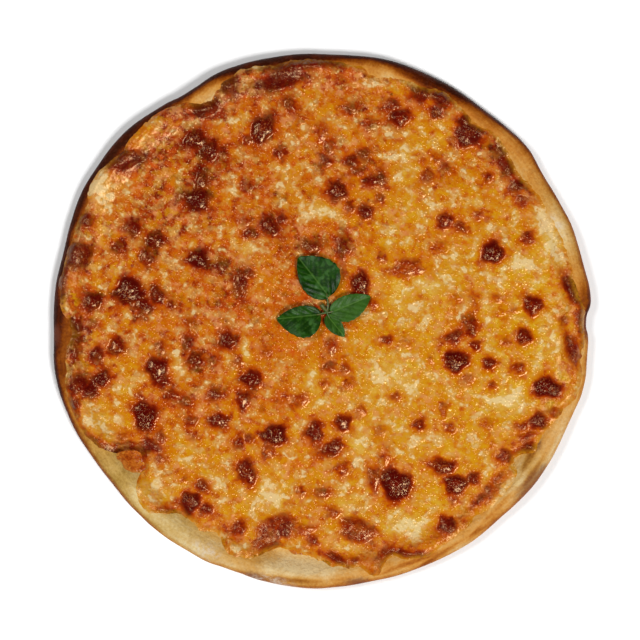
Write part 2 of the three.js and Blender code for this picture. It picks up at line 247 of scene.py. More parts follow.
top_insets = [0.15, 0.5, 1, 1.6, 2.3, 3.1, *range(4, RIM_WIDTH + 1), 40, 80, 120]
under_insets = [0.5, 1.2, 2, 3, 4.2, 5.5, 7, UNDER_CURL, 14, 22, 34, 50, 70, 95, 125]
# The profile's heights only tell the underside, the equator and the top apart: -1, 0 and 1.
profile = [(0, -1)] + [(PIZZA_RADIUS - inset, -1) for inset in reversed(under_insets)]
profile += [(PIZZA_RADIUS, 0)] + [(PIZZA_RADIUS - inset, 1) for inset in top_insets] + [(0, 1)]
crust = piece_from(spun_disc(profile, steps=600), "crust_dough")
spots = corners_of(crust)
bearing, reach = polar(spots)
side = spots[:, 2]
under, top = side < 0, side > 0
inset = PIZZA_RADIUS - reach
edge = pizza_edge(bearing)
inner = reach * (edge - RIM_WIDTH) / (PIZZA_RADIUS - RIM_WIDTH)
reach = np.where(inset <= RIM_WIDTH, edge - inset, inner)
x, y = around(bearing, reach)
height = np.where(top, dough_top(bearing, inset), np.where(under, dough_under(inset), EQUATOR))
spots = np.column_stack([x, y, height])
move_corners(crust, spots)
lumps = dough_lumps(x, y, height, inset)
lump_out(crust, np.where(under, smooth(UNDER_CURL, 4, inset), 1) * lumps)
# The outer wall's browning, which at the top and left is also painted shade, fades inward from the outline.
outer = np.where(under, smooth(UNDER_CURL + 8, 2, inset), 1.24 * np.exp(-inset / BROWN_AND_SHADE_FADE))
# Inward of the crest the dough is painted 0.12 paler: painted light that offsets the shade on the inner
# slope.
bake = 0.36 - 0.12 * smooth(6, 12, inset) + outer * np.clip(swells(bearing, RIM_BROWNING_AND_SHADE), -0.15, 0.75)
bake += 0.12 * smooth(2.6, 0.4, inset) * top
bake -= 0.1 * smooth(1.5, 3, inset) * smooth(10, 6, inset) * top
bake -= 0.22 * patches(x, y, RIM_PALE_AND_LIT) * top
bake += 0.32 * patches(x, y, RIM_TOASTED) * top
bake += 0.1 * rough(spots + 80, 26, 2) * smooth(8, 0, inset)
bake = np.where(under, np.maximum(bake, 0.42), bake) + 0.08 * rough(spots, 11) + 0.1 * lumps
give(
    crust,
    bake=bake,
    burn=patches(x, y, RIM_BURNS) * ~under,
    flour=patches(x, y, RIM_FLOUR) * ~under + 0.35 * under,
    stain=smooth(STAIN_WIDTH, 0, reach - melt_edge(bearing)) * top,
    raw=np.clip(swells(bearing, RIM_RAW), 0, 1) * smooth(0, 3, inset) * top,
    inset=inset,
)
to_metres(crust)

LAMPS = 1.3  # how much brighter than a white screen the lamps make white paint


def paint(red, green, blue):
    """The paint that looks like a screen colour of 0 to 255 under the lamps, as a linear colour."""
    parts = np.array([red, green, blue]) / 255
    linear = np.where(parts <= 0.04045, parts / 12.92, ((parts + 0.055) / 1.055) ** 2.4)
    return (*(linear / LAMPS), 1.0)


def feed(tree, node, inputs):
    """Gives each named input of a node its value, or wires it to another node's socket."""
    for name, value in dict(inputs).items():
        if isinstance(value, bpy.types.NodeSocket):
            tree.links.new(value, node.inputs[name])
        else:
            node.inputs[name].default_value = value


def add(tree, kind, inputs=(), **settings):
    """A new node with its settings and inputs."""
    made = tree.nodes.new("ShaderNode" + kind)
    for name, value in settings.items():
        setattr(made, name, value)
    feed(tree, made, inputs)
    return made


def calc(tree, operation, first, second=0.0, clamp=False):
    return add(tree, "Math", {0: first, 1: second}, operation=operation, use_clamp=clamp).outputs[0]


def times(tree, product, *factors):
    for factor in factors:
        product = calc(tree, "MULTIPLY", product, factor)
    return product


def summed(tree, start, *rows):
    """A value, plus each mask by its weight."""
    for mask, weight in rows:
        start = calc(tree, "ADD", start, times(tree, mask, weight))
    return start


def blended(tree, share, below, above, way="MIX"):
    made = add(
        tree, "Mix", {0: share, 6: below, 7: above}, data_type="RGBA", blend_type=way, clamp_factor=True
    )
    return made.outputs[2]


def painted(tree, below, mask, weight, *colour):
    """A colour with paint of a screen colour over it where the mask is, by the given weight."""
    return blended(tree, times(tree, mask, weight), below, paint(*colour))


def stored(tree, name):
    return add(tree, "Attribute", attribute_name=name).outputs["Fac"]


def ramp(tree, share, stops):
    """A colour that changes from stop to stop; each stop is (place, red, green, blue)."""
    made = add(tree, "ValToRGB", {0: share})
    points = made.color_ramp.elements
    while len(points) < len(stops):
        points.new(0.5)
    for point, (place, *colour) in zip(points, stops):
        point.position = place
        point.color = paint(*colour)
    return made.outputs[0]


def started_group(name, result, *numbers):
    """A shader group with number inputs and one output; gives it, its inputs and the place in metres."""
    group = bpy.data.node_groups.new(name, "ShaderNodeTree")
    for label, value in numbers:
        socket = group.interface.new_socket(label, in_out="INPUT", socket_type="NodeSocketFloat")
        socket.default_value = value
    group.interface.new_socket(result, in_out="OUTPUT", socket_type="NodeSocketFloat")
    place = add(group, "TexCoord").outputs["Object"]
    return group, group.nodes.new("NodeGroupInput").outputs, place


def finished_group(group, result):
    group.links.new(result, group.nodes.new("NodeGroupOutput").inputs[0])
    return group


def per_metre(tree, millimetres):
    return calc(tree, "DIVIDE", 1000.0, millimetres)


def soft_step(tree, low, high, value):
    made = add(
        tree, "MapRange", {"Value": value, "From Min": low, "From Max": high},
        interpolation_type="SMOOTHSTEP",
    )
    return made.outputs["Result"]


def mottle_group():
    """Soft-edged blotches of one size in mm: a mask of 0 to 1."""
    group, given, place = started_group(
        "Mottle", "Mask", ("Size mm", 5.0), ("Roughness", 0.55), ("Swirl", 0.3), ("Low", 0.4), ("High", 0.6)
    )
    cloud = add(group, "TexNoise", {
        "Vector": place, "Scale": per_metre(group, given["Size mm"]), "Detail": 6.0,
        "Roughness": given["Roughness"], "Distortion": given["Swirl"],
    })
    return finished_group(group, soft_step(group, given["Low"], given["High"], cloud.outputs["Fac"]))


def ragged_group():
    """Browning by heat: the same map with a ragged border and an uneven middle."""
    group, given, place = started_group(
        "Ragged heat", "Heat", ("Heat", 0.0), ("Ragged", 0.2), ("Grain mm", 1.5)
    )
    scale = per_metre(group, given["Grain mm"])
    grain = add(group, "TexNoise", {"Vector": place, "Scale": scale, "Detail": 4.0, "Roughness": 0.6})
    offset = times(group, calc(group, "SUBTRACT", grain.outputs["Fac"], 0.5), given["Ragged"], 4.0)
    return finished_group(group, calc(group, "ADD", given["Heat"], offset, clamp=True))


def relief_group():
    """Smooth small lumps, in two sizes, for a wet skin that glints: a height of about 0 to 1."""
    group, given, place = started_group("Wet relief", "Height", ("Size mm", 2.0), ("Fine share", 0.4))
    scale = per_metre(group, given["Size mm"])
    large = add(group, "TexNoise", {"Vector": place, "Scale": scale, "Detail": 0.0}).outputs["Fac"]
    finer = times(group, scale, 2.3)
    small = add(group, "TexNoise", {"Vector": place, "Scale": finer, "Detail": 0.0}).outputs["Fac"]
    return finished_group(group, summed(group, large, (small, given["Fine share"])))


mottle = mottle_group()
ragged = ragged_group()
wet = relief_group()


def uneven_heat(tree, heat, amount, size):
    numbers = {"Heat": heat, "Ragged": amount, "Grain mm": size}
    return add(tree, "Group", numbers, node_tree=ragged).outputs["Heat"]


def wet_relief(tree, size, fine_share):
    numbers = {"Size mm": size, "Fine share": fine_share}
    return add(tree, "Group", numbers, node_tree=wet).outputs["Height"]


def blotches(tree, size, low, high, roughness=0.55, swirl=0.3):
    numbers = {"Size mm": size, "Low": low, "High": high, "Roughness": roughness, "Swirl": swirl}
    return add(tree, "Group", numbers, node_tree=mottle).outputs["Mask"]


def fresh_material(name):
    material = bpy.data.materials.new(name)
    material.use_nodes = True
    tree = material.node_tree
    return material, tree, tree.nodes["Principled BSDF"]


def bumped(tree, height, strength, distance):
    """The normal of a skin with fine relief; the distance is in metres."""
    skin = add(tree, "Bump", {"Height": height, "Strength": strength, "Distance": distance})
    return skin.outputs["Normal"]


def streak_group():
    """Fine streaks that run round the rim: a mask of 0 to 1."""
    group, given, place = started_group(
        "Rim streaks", "Mask", ("Inset mm", 0.0), ("Length mm", 13.0), ("Width mm", 1.7)
    )
    scale = per_metre(group, given["Length mm"])
    place = add(group, "VectorMath", {0: place, "Scale": scale}, operation="SCALE").outputs[0]
    lift = calc(group, "DIVIDE", given["Inset mm"], given["Width mm"])
    across = add(group, "CombineXYZ", {"Z": lift}).outputs[0]
    place = add(group, "VectorMath", {0: place, 1: across}, operation="ADD").outputs[0]
    fibres = add(group, "TexNoise", {"Vector": place, "Scale": 1.0, "Detail": 3.0}).outputs["Fac"]
    return finished_group(group, soft_step(group, 0.35, 0.65, fibres))


dough_finish, tree, surface = fresh_material("baked_dough")
streaks = add(tree, "Group", {"Inset mm": stored(tree, "inset")}, node_tree=streak_group()).outputs["Mask"]
browned = summed(tree, stored(tree, "bake"), (calc(tree, "SUBTRACT", streaks, 0.5), 0.07))
browned = uneven_heat(tree, browned, 0.08, 1.4)
browned = summed(tree, browned, (blotches(tree, 9, 0.44, 0.62), -0.08))
crumb = ramp(tree, browned, [
    (0.0, 236, 202, 146), (0.15, 222, 172, 104), (0.3, 212, 148, 68), (0.45, 192, 118, 40),
    (0.6, 160, 84, 14), (0.75, 124, 54, 2), (0.88, 88, 28, 0), (1.0, 56, 14, 0),
])
floury = ramp(tree, browned, [
    (0.0, 230, 208, 154), (0.15, 216, 184, 120), (0.3, 202, 164, 90), (0.45, 172, 134, 60),
    (0.6, 140, 98, 36), (0.75, 112, 70, 16), (0.88, 80, 38, 4), (1.0, 52, 18, 0),
])
crumb = blended(tree, stored(tree, "raw"), crumb, floury)
oily = times(tree, stored(tree, "stain"), blotches(tree, 5, 0.3, 0.58), 0.5)
crumb = blended(tree, oily, crumb, (1.0, 0.88, 0.55, 1), "MULTIPLY")
crumb = painted(tree, crumb, uneven_heat(tree, stored(tree, "burn"), 0.35, 1.8), 0.7, 118, 64, 46)
dusting = times(tree, stored(tree, "flour"), blotches(tree, 3.5, 0.4, 0.62, 0.7))
crumb = painted(tree, crumb, dusting, 0.6, 226, 214, 196)
pores = summed(tree, blotches(tree, 1.2, 0.3, 0.7), (blotches(tree, 3.2, 0.35, 0.65), 1.5), (streaks, 0.5))
feed(tree, surface, {
    "Base Color": crumb,
    "Roughness": 0.5,
    "Specular IOR Level": 0.07,
    "Specular Tint": (1, 0.75, 0.5, 1),
    "Normal": bumped(tree, pores, 0.4, 0.0003),
})
crust.data.materials.append(dough_finish)
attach(crust, "root")
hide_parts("crust")

# ---- Tomato sauce ----------------------------------------------------------------------------
# Crushed tomato ladled on the dough and spread out in a spiral. Baked under the cheese, it shows only
# where it ran out past it, dried to a rough orange-red skin.
SAUCE = 1.15  # its thickness
SAUCE_LIP = 5  # how far in from its edge it is that thick
SAUCE_EDGE_SUNK = 0.15
UNDERSIDE_SUNK = 0.5  # how deep the underside of a topping lies in the dough
SAUCE_RING = 135  # radius of the ring on which the small teeth of its edge are worked out
# Its outline: a circle with swells of the same kind as the pizza's.
SAUCE_REACH = 131
SAUCE_TONGUES = [(57, 10, 4), (113, 13, 5), (190, 14, 6), (215.3, 9.5, 4.6), (240, 5, 1.6), (266, 4, 4)]


def sauce_edge(bearing):
    on_ring = np.column_stack([*around(bearing, SAUCE_RING), 0 * bearing])
    teeth = 0.8 * wave(bearing, 17, 10) + 1.5 * rough(on_ring, 5)
    return SAUCE_REACH + swells(bearing, SAUCE_TONGUES) + teeth


insets = [0, 0.15, 0.5, 1, 2, 3, 4.5, 6, 8, 10, 13, 17, 22]
profile = [(0, -1), (80, -1), (SAUCE_REACH - 10, -1), (SAUCE_REACH, -1)]
profile += [(SAUCE_REACH - inset, 1) for inset in insets] + [(80, 1), (0, 1)]
sauce = piece_from(spun_disc(profile, steps=540), "tomato_sauce_layer")
spots = corners_of(sauce)
bearing, reach = polar(spots)
from_edge = SAUCE_REACH - reach
edge = sauce_edge(bearing)
reach = np.where(from_edge <= insets[-1], edge - from_edge, (1 - from_edge / SAUCE_REACH) * edge)
x, y = around(bearing, reach)
inset = pizza_edge(bearing) - reach
dough = dough_top(bearing, inset)
dough += dough_lumps(x, y, dough, inset)
sauce_top = dough - SAUCE_EDGE_SUNK + (SAUCE_EDGE_SUNK + SAUCE) * smooth(0, SAUCE_LIP, from_edge)
height = np.where(spots[:, 2] > 0, sauce_top, dough - UNDERSIDE_SUNK)
spots = np.column_stack([x, y, height])
spots[:, 2] += (height > dough) * (0.22 * rough(spots, 6) + 0.12 * rough(spots, 2))
move_corners(sauce, spots)
give(sauce, rim=smooth(4.5, 0, from_edge))
to_metres(sauce)
sauce_finish, tree, surface = fresh_material("baked_tomato_sauce")
pulp = blended(tree, blotches(tree, 3.6, 0.42, 0.6, 0.65, 0.0), paint(196, 104, 26), paint(166, 66, 8))
pulp = painted(tree, pulp, blotches(tree, 1.5, 0.5, 0.66), 0.7, 128, 46, 6)
pulp = painted(tree, pulp, blotches(tree, 2.2, 0.54, 0.68), 0.7, 214, 146, 52)
thin = times(tree, stored(tree, "rim"), blotches(tree, 2.4, 0.3, 0.58))
feed(tree, surface, {
    "Base Color": painted(tree, pulp, thin, 0.45, 196, 150, 74),
    "Roughness": 0.22,
    "Specular IOR Level": 0.13,
    "Normal": bumped(tree, wet_relief(tree, 1.4, 0.4), 1.0, 0.0004),
})
sauce.data.materials.append(sauce_finish)
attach(sauce, "root")
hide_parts("tomato_sauce")

# ---- Mozzarella ------------------------------------------------------------------------------
# Grated mozzarella melted to one sheet over the sauce. Steam under it blew blisters, whose tops burnt;
# between them oil, sauce and whey left orange, yellow and cream patches.
MELT = 2.2  # its thickness over the sauce
RIM_SKIN = 1.2  # its thickness over the rim
MELT_LIP = 5.5  # how far in from its edge it is that thick
SAUCE_ROOM = 1.2  # the sauce and its clearance under the cheese
SAUCE_CLEAR = 0.1  # how far its flat underside clears the sauce
LAYER_GAP = 0.3
EDGE_SUNK = 0.3  # how deep its very edge lies in the dough, so that it seems to grow out of it
TEETH_RING = 140  # radius of the ring on which the small teeth of its edge are worked out
BLISTER_RISE = 2.1
# Blisters: x, y, half-length, half-width in mm, how darkly the top is burnt, 0 to 1, and any turn in
# degrees.
BLISTERS = [
    # upper left
    (-72, 103, 6.5, 5, 0.9), (-64, 97, 5, 5, 0.9), (-57, 95, 2, 2, 0.6), (-71, 69, 6.5, 6, 1.0),
    (-69, 80, 5.5, 3, 0.85, 80), (-78, 71, 3, 3, 0.6), (-108, 53, 5, 4.5, 0.7), (-95, 46, 5, 4.5, 0.85),
    (-65, 121, 6, 3, 0.8, 5), (-54, 134, 5, 3.5, 0.75, -50), (-110, 92, 9, 4.5, 0.75, 20),
    (-134, 57, 4, 3.5, 0.7),
    # top
    (-22, 138, 12, 5, 0.85, 15), (-10, 145, 12, 2.5, 0.8, 8), (-34, 109, 8.5, 6, 0.95, 60),
    (-42, 103, 3, 2, 0.7), (-25, 96, 3, 3, 0.7), (-18, 123, 4, 2.5, 0.7, -60), (40, 123, 4.5, 3.5, 0.8),
    (44, 116, 6, 5, 0.85), (16, 121, 4, 3, 0.5), (27, 112, 5, 4, 0.35), (-1, 108, 6, 4, 0.35, 90),
    (4, 99, 4, 3, 0.5, 90), (2, 91, 3.5, 3.5, 0.65), (17, 91, 3.5, 3.5, 0.8), (24, 95, 4, 3.5, 0.65),
    (20, 85, 3, 2, 0.7), (29, 80, 6, 3, 0.8), (34, 82, 3, 2, 0.75, 90), (9, 74, 5.5, 5, 0.9),
    (33, 70, 2.5, 2.5, 0.65), (25, 62, 4.5, 4, 0.85), (16, 65, 3, 3, 0.6), (-23, 58, 3, 3, 0.85),
    (-30, 54, 5.5, 4.2, 0.9, -40), (-41, 50, 3.5, 3, 0.8), (-44, 56, 4, 3, 0.45),
    (-43, 76, 3.4, 3.4, 0.4),
    # upper right
    (68, 126, 5.5, 4, 0.8), (65, 119, 4, 4, 0.8), (56, 128, 4.5, 3.5, 0.8), (83, 106, 8, 7, 0.95),
    (81, 113, 4, 4, 0.95), (75, 102, 4, 4, 0.5), (65, 92, 3.5, 2.5, 0.45), (70, 87, 4, 3, 0.6, -50),
    (60, 82, 4.5, 4, 0.55), (57, 91, 2, 2, 0.5), (94, 82, 3, 3, 0.65), (104, 88, 8, 3.5, 0.7, -60),
    (110, 76, 4, 3.5, 0.65), (114, 68, 3.5, 3.5, 0.6), (102, 96, 4, 2, 0.65), (70, 57, 5, 4.5, 0.85),
    (78, 54, 4, 3, 0.75, -20), (89, 60, 3, 2.5, 0.65), (117, 47, 4.5, 4, 0.65), (57, 72, 2, 2, 0.4),
    # left
    (-116, 42, 4, 3.5, 0.65), (-100, 36, 4.5, 3.5, 0.75, 90), (-71, 35, 5.5, 5, 1.0),
    (-58, 31, 2.8, 2.5, 0.65), (-138, 38, 7, 7, 0.75), (-148, 22, 5, 2.5, 0.8, 80), (-131, 11, 5, 5, 0.9),
    (-110, 17, 8, 7.5, 1.0), (-102, 9, 5, 4, 0.85), (-94, 14, 5, 4, 0.8, 90), (-103, 3, 2.5, 2.5, 0.6),
    (-86, 9, 2.2, 2.2, 0.6), (-76, -1, 2.5, 2.5, 0.5), (-140, -3, 4, 3.5, 0.8),
    (-140, -13, 6, 3, 0.7, 90), (-131, -2, 3, 3, 0.5), (-117, -15, 5, 5, 0.75), (-128, -19, 4, 4, 0.8),
    (-126, -33, 6, 4, 1.0, 35), (-132, -39, 5, 4, 1.0, 50), (-138, -36, 6, 5, 0.8, 90),
    (-140, -47, 3, 3, 0.75), (-92, -15, 4, 2.5, 0.55, 90), (-94, -27, 6.5, 6.5, 0.95),
    (-91, -34, 4, 3.5, 0.9), (-77, -13, 4.5, 2.5, 0.7, 90), (-72, -22, 4.5, 4, 0.85),
    (-64, -23, 3, 2, 0.55), (-54, -11, 5, 4.5, 0.9), (-86, -42, 3.5, 3, 0.65), (-104, -43, 2.5, 2.5, 0.4),
    (-61, -42, 4, 3.5, 0.75), (-78, -46, 3.5, 3, 0.6), (-101, -54, 9, 6.5, 1.0, 100),
    # middle
    (-46, 22, 6, 3.5, 0.9, 90), (-41, 27, 2.5, 2.5, 0.75), (-6, 42, 5, 4, 0.6), (12, 42, 7, 4, 0.5, 90),
    (34, 36, 3, 3, 0.55), (48, 30, 10, 5.5, 0.55, 12), (22, 21, 7, 5.5, 1.0, 90), (13, 27, 2, 2, 0.5),
    (29, 10, 3, 3, 0.55), (37, -11, 4, 3, 0.8), (47, -13, 4, 3, 0.4), (5, -14, 5, 4, 0.5, 90),
    (4, -26, 3, 3, 0.7), (13, -27, 3.5, 2.5, 0.55, 90), (0, -36, 2.5, 2.5, 0.55), (14, -36, 3, 2.5, 0.55),
    (42, -43, 2.8, 2.8, 0.7), (-47, -23, 2.5, 2.5, 0.6), (-32, -18, 2.5, 2, 0.55), (-40, -33, 6, 5, 0.9),
    (-45, -45, 5, 4, 0.8, 90), (-21, -43, 2.5, 2, 0.6), (-12, -45, 6, 4, 0.5, 30), (22, -51, 3, 3, 0.5),
    # right
    (97, 39, 6.5, 6.5, 1.0), (67, 42, 4.5, 3.5, 0.5), (120, 9, 6, 6, 0.85), (115, -9, 5, 5, 0.85),
    (104, -12, 2.5, 2.5, 0.55), (109, 6, 3, 2, 0.45), (102, 5, 2, 2, 0.4), (100, 13, 3, 2.5, 0.5),
    (77, 13, 3, 2, 0.45), (85, -3, 5, 3.5, 0.75, 90), (86, 10, 6, 2.5, 0.4, 90), (75, -9, 6, 3, 0.85, 25),
    (87, -14, 3, 3, 0.8), (76, -23, 7, 6.5, 1.0), (95, -24, 4, 3.4, 0.95), (112, -27, 4.5, 3.5, 0.7),
    (97, -37, 2.4, 2.4, 0.75), (128, -38, 9, 6, 1.0, -10), (142, 18, 8, 4, 0.95, -60),
    (148, 1, 8, 3, 0.95, 95), (138, 0, 3, 3, 0.55), (142, -16, 8.5, 3.5, 0.85, -75),
    (149, -12, 6, 2, 0.8, 90), (83, -33, 3.5, 3, 0.5), (62, -22, 2.2, 2.2, 0.4), (69, -51, 2.6, 5, 0.5),
    # lower left
    (-98, -71, 7, 4, 0.7, -10), (-109, -72, 7, 3.5, 0.5, -15), (-92, -66, 4, 3, 0.7, 90),
    (-114, -66, 3, 2.5, 0.55), (-127, -70, 4.5, 1.6, 0.8, -40), (-115, -75, 3, 1.5, 0.7),
    (-92, -78, 2.2, 2.2, 0.6), (-75, -57, 4, 3, 0.65), (-59, -57, 6, 4, 0.85), (-73, -65, 2, 2, 0.5),
    (-68, -94, 4, 3.5, 0.8, -45), (-75, -103, 6, 6, 0.95), (-66, -107, 4, 3, 0.85),
    (-89, -108, 4, 2, 0.7, -15), (-79, -91, 2, 2, 0.4),
    # bottom
    (-47, -69, 3.5, 3.5, 0.75), (-42, -67, 3, 3, 0.7), (-27, -65, 7.5, 6, 1.0),
    (-31, -74, 5, 4, 0.65, 90), (-4, -63, 6.5, 4.5, 0.9, 90), (12, -58, 5, 5, 0.8),
    (6, -72, 6.5, 4, 0.85, 25), (-43, -86, 8, 5, 0.85, -70), (11, -84, 4, 4, 0.6),
    (42, -93, 10, 8.5, 1.0, -50), (30, -90, 7, 4, 0.6, 90), (36, -76, 6, 2.5, 0.4, 90),
    (33, -63, 3, 3, 0.45), (55, -59, 3.7, 3.4, 0.9), (0, -98, 5, 3, 0.6), (-12, -97, 3, 3, 0.4),
    (6, -109, 4, 3.5, 0.65, -40), (20, -119, 11, 7.5, 0.62, -15), (-28, -120, 15, 7.5, 0.66, 42),
    (-22, -119, 5, 5, 0.85), (-12, -119, 8, 4, 0.45), (-5, -125, 4, 3, 0.65, -40),
    (9, -136, 7.5, 2.2, 0.9, -32), (19, -137, 3, 2.5, 0.65), (-47, -118, 4.5, 4.5, 0.7),
    (35, -134, 9, 3, 0.5, 55), (48, -132.5, 8.5, 1.6, 0.85, -8),
    # lower right
    (73, -61, 3.4, 3.2, 0.65), (94, -59, 4, 3.4, 0.5, 45), (97, -70, 2, 2, 0.4),
    (69, -83, 8, 4.5, 0.9, -5), (76, -93, 7, 6, 0.95), (86, -90, 4, 4, 0.85), (75, -102, 3, 2.5, 0.65),
    (71, -116, 5.5, 5, 0.85), (123, -57, 5, 5, 0.9), (133, -52, 4, 3, 0.65),
    (115, -60, 4.5, 2.5, 0.65, 40), (116, -66, 6, 2.2, 0.65, 25), (117, -73, 7.5, 3, 0.95, 20),
    (104, -77, 5, 4, 0.8), (91, -101, 5, 2, 0.75, 45), (95, -95, 3, 2.4, 0.5, 45),
    (101, -89, 4, 2, 0.5, 45), (84, -115, 4, 1.8, 0.65, 35), (58, -133, 4, 1.5, 0.8),
]
# Broad patches that baked darker and redder (above nought) or stayed pale (below nought), among them
# painted shade and painted light, marked below: x, y, radii in mm, amount, and any turn in degrees. The
# next three tables have the same columns.
BAKED_SHADED_AND_LIT_PATCHES = [
    # upper left
    (-95, 94, 15, 9, 0.36, 10), (-68, 118, 13, 7, 0.24), (-84, 112, 9, 7, 0.16), (-88, 78, 9, 6, 0.24),
    (-62, 90, 12, 9, 0.16), (-42, 131, 12, 6, 0.16, 10), (-40, 78, 6, 5, 0.2),
    (-128, 78, 6, 12, -0.3, 15), (-110, 76, 6, 7, -0.14), (-46, 114, 8, 12, -0.1), (-51, 76, 5, 6, -0.14),
    (-20, 80, 4, 10, -0.14, 30), (-3, 63, 9, 4.5, -0.28, 5), (-28, 89, 8, 6, -0.04),
    (-5, 46, 14, 9, 0.28), (-25, 38, 12, 10, 0.12), (-42, 41, 5, 4, -0.22), (-51, 52, 6, 5, -0.14),
    (-54, 8, 16, 11, 0.26), (-62, 34, 9, 7, 0.16), (-24, 20, 6, 6, -0.08), (-105, 63, 9, 6, 0.1),
    (-85, 60, 20, 12, 0.08), (-120, 30, 13, 13, -0.04), (-94, 28, 10, 6, -0.06), (-12, 103, 7, 8, -0.04),
    (-95, 60, 60, 60, 0.07),
    # upper right
    (12, 138, 5, 8, 0.22), (28, 145, 8, 4, -0.2, -5), (42, 133, 7, 6, -0.2), (5, 119, 6, 10, -0.1),
    (22, 123, 8, 5, 0.2), (30, 114, 11, 8, 0.18), (60, 108, 11, 6, -0.08), (48, 92, 9, 16, -0.12),
    (24, 92, 13, 8, 0.14), (6, 98, 6, 8, 0.12), (50, 64, 10, 8, -0.06), (63, 62, 6, 6, -0.1),
    (78, 82, 19, 17, 0.06), (108, 83, 24, 6, 0.24, -60), (12, 43, 6, 9, 0.34), (74, 38, 7, 10, -0.14),
    (44, 17, 9, 6, -0.16), (61, 20, 7, 4, -0.24), (80, 4, 9, 11, 0.18), (115, 32, 9, 5, -0.22),
    (130, 45, 7, 10, -0.32), (125, 61, 5, 6, -0.2), (56, 98, 5, 12, 0.02), (98, 99, 8, 6, 0.14),
    # lower left
    (-109, -30, 8, 16, -0.08, 5), (-82, -25, 3, 8, -0.22, 10), (-74, -14, 8, 6, 0.1),
    (-58, -20, 12, 9, 0.12), (-34, -10, 14, 9, 0.12), (-44, -16, 2.5, 7, -0.2), (-26, -44, 14, 14, 0.16),
    (-5, -35, 4, 9, -0.24), (-60, -36, 11, 9, 0.06), (-110, -73, 12, 4, 0.26, -10),
    (-80, -76, 8, 7, -0.06), (-92, -88, 4, 9, 0.18), (-20, -83, 12, 10, 0.02), (-31, -101, 11, 9, -0.2),
    (-56, -117, 11, 4, 0.24, -45), (-60, -91, 9, 6, -0.06), (-84, -102, 5, 5, 0.1), (0, -50, 8, 6, -0.1),
    (-143, -28, 5, 14, 0.08), (-52, -66, 9, 8, 0.08),
    # lower right
    (5, -12, 7, 12, 0.08), (25, -15, 8, 8, -0.1), (41, -31, 13, 13, -0.16), (81, -14, 13, 14, 0.14),
    (105, -45, 13, 8, -0.22), (20, -68, 6, 10, -0.12), (13, -106, 8, 8, -0.1), (47, -117, 9, 6, -0.34),
    (8, -127, 10, 4, -0.14), (33, -128, 8, 6, 0.14), (98, -94, 10, 5, 0.16, 50),
    (82, -113, 12, 5, 0.12, 40), (62, -125, 14, 4, 0.14, 15), (130, -12, 7, 9, -0.12),
    (38, -82, 10, 7, 0.12), (60, -103, 8, 9, -0.1), (119, -63, 10, 6, 0.12, 50),
    # whole sides: mostly darker towards the top and left and paler towards the right; partly baked so,
    # partly painted shade and painted light from the lamp at the lower right
    (-70, 50, 50, 32, 0.05), (-138, -10, 10, 60, 0.06), (-15, 115, 55, 22, 0.06),
    (-75, -45, 20, 15, 0.06), (-40, 132, 40, 8, 0.12, 12), (45, 133, 16, 7, 0.1, -15),
    (75, -40, 70, 60, -0.08), (45, 15, 15, 12, -0.08), (-50, -120, 20, 10, -0.1, -25),
    (128, -10, 12, 45, -0.06), (0, -75, 9, 7, 0.18), (-50, 30, 7, 8, 0.14), (-108, 20, 45, 55, 0.13),
    (-60, 90, 60, 30, 0.11, 15), (-5, -42, 16, 8, -0.08), (35, -10, 14, 10, -0.06),
    (-15, 70, 40, 20, 0.09), (-14, 16, 14, 14, 0.24), (-75, -45, 18, 14, 0.11), (105, -20, 30, 60, -0.05),
    # (0, 7) is painted shadow: the shade under the basil's stems, painted darker.
    (-105, -103, 12, 9, -0.14), (60, -40, 30, 30, -0.04), (0, 7, 7, 6, 0.52), (14, -2, 5, 3, 0.2),
    (-15, 135, 60, 10, 0.13), (-14, -16, 12, 14, 0.1), (70, 48, 16, 14, 0.06), (72, -42, 16, 12, 0.07),
    (-104, 104, 13, 6, -0.24, 45), (-128, -56, 13, 8, -0.12, -45), (60, 128, 20, 8, 0.1, -25),
    (-135, 0, 10, 40, 0.06),
]
# Where the cheese is thin and the sauce shines through.
SAUCY_PATCHES = [
    (-100, 80, 15, 11, 0.9, 20), (-92, 96, 14, 8, 0.7, 15), (-70, 62, 20, 13, 0.4),
    (-14, 16, 12, 13, 0.9), (-5, 46, 13, 9, 0.8), (-50, 12, 17, 12, 0.6), (-30, -8, 18, 8, 0.5),
    (-28, -44, 15, 11, 0.6), (-3, -76, 13, 9, 0.8), (-40, 132, 24, 7, 0.6, 10), (10, 136, 9, 10, 0.7),
    (12, 40, 6, 10, 0.7), (28, 113, 11, 8, 0.4), (48, 28, 14, 8, 0.5, 10), (34, -76, 7, 9, 0.5),
    (-78, -46, 14, 9, 0.6), (-40, 74, 12, 8, 0.5), (12, 78, 12, 12, 0.4), (-112, -74, 10, 4, 0.5, -10),
    (-60, -118, 16, 4, 0.7, -42), (100, -92, 18, 4, 0.5, 47), (62, -124, 18, 4, 0.5, 18),
    (-140, 30, 6, 30, 0.4), (70, 45, 12, 8, 0.3), (5, -15, 7, 12, 0.4), (78, -5, 12, 12, 0.3),
    (-14, -18, 12, 13, 0.6), (66, -38, 16, 12, 0.35), (72, 48, 15, 13, 0.35), (-8, -50, 12, 10, 0.4),
    (42, -104, 12, 9, 0.4), (-75, 75, 55, 42, 0.3), (-5, 115, 50, 22, 0.2), (-60, -5, 40, 30, 0.15),
]
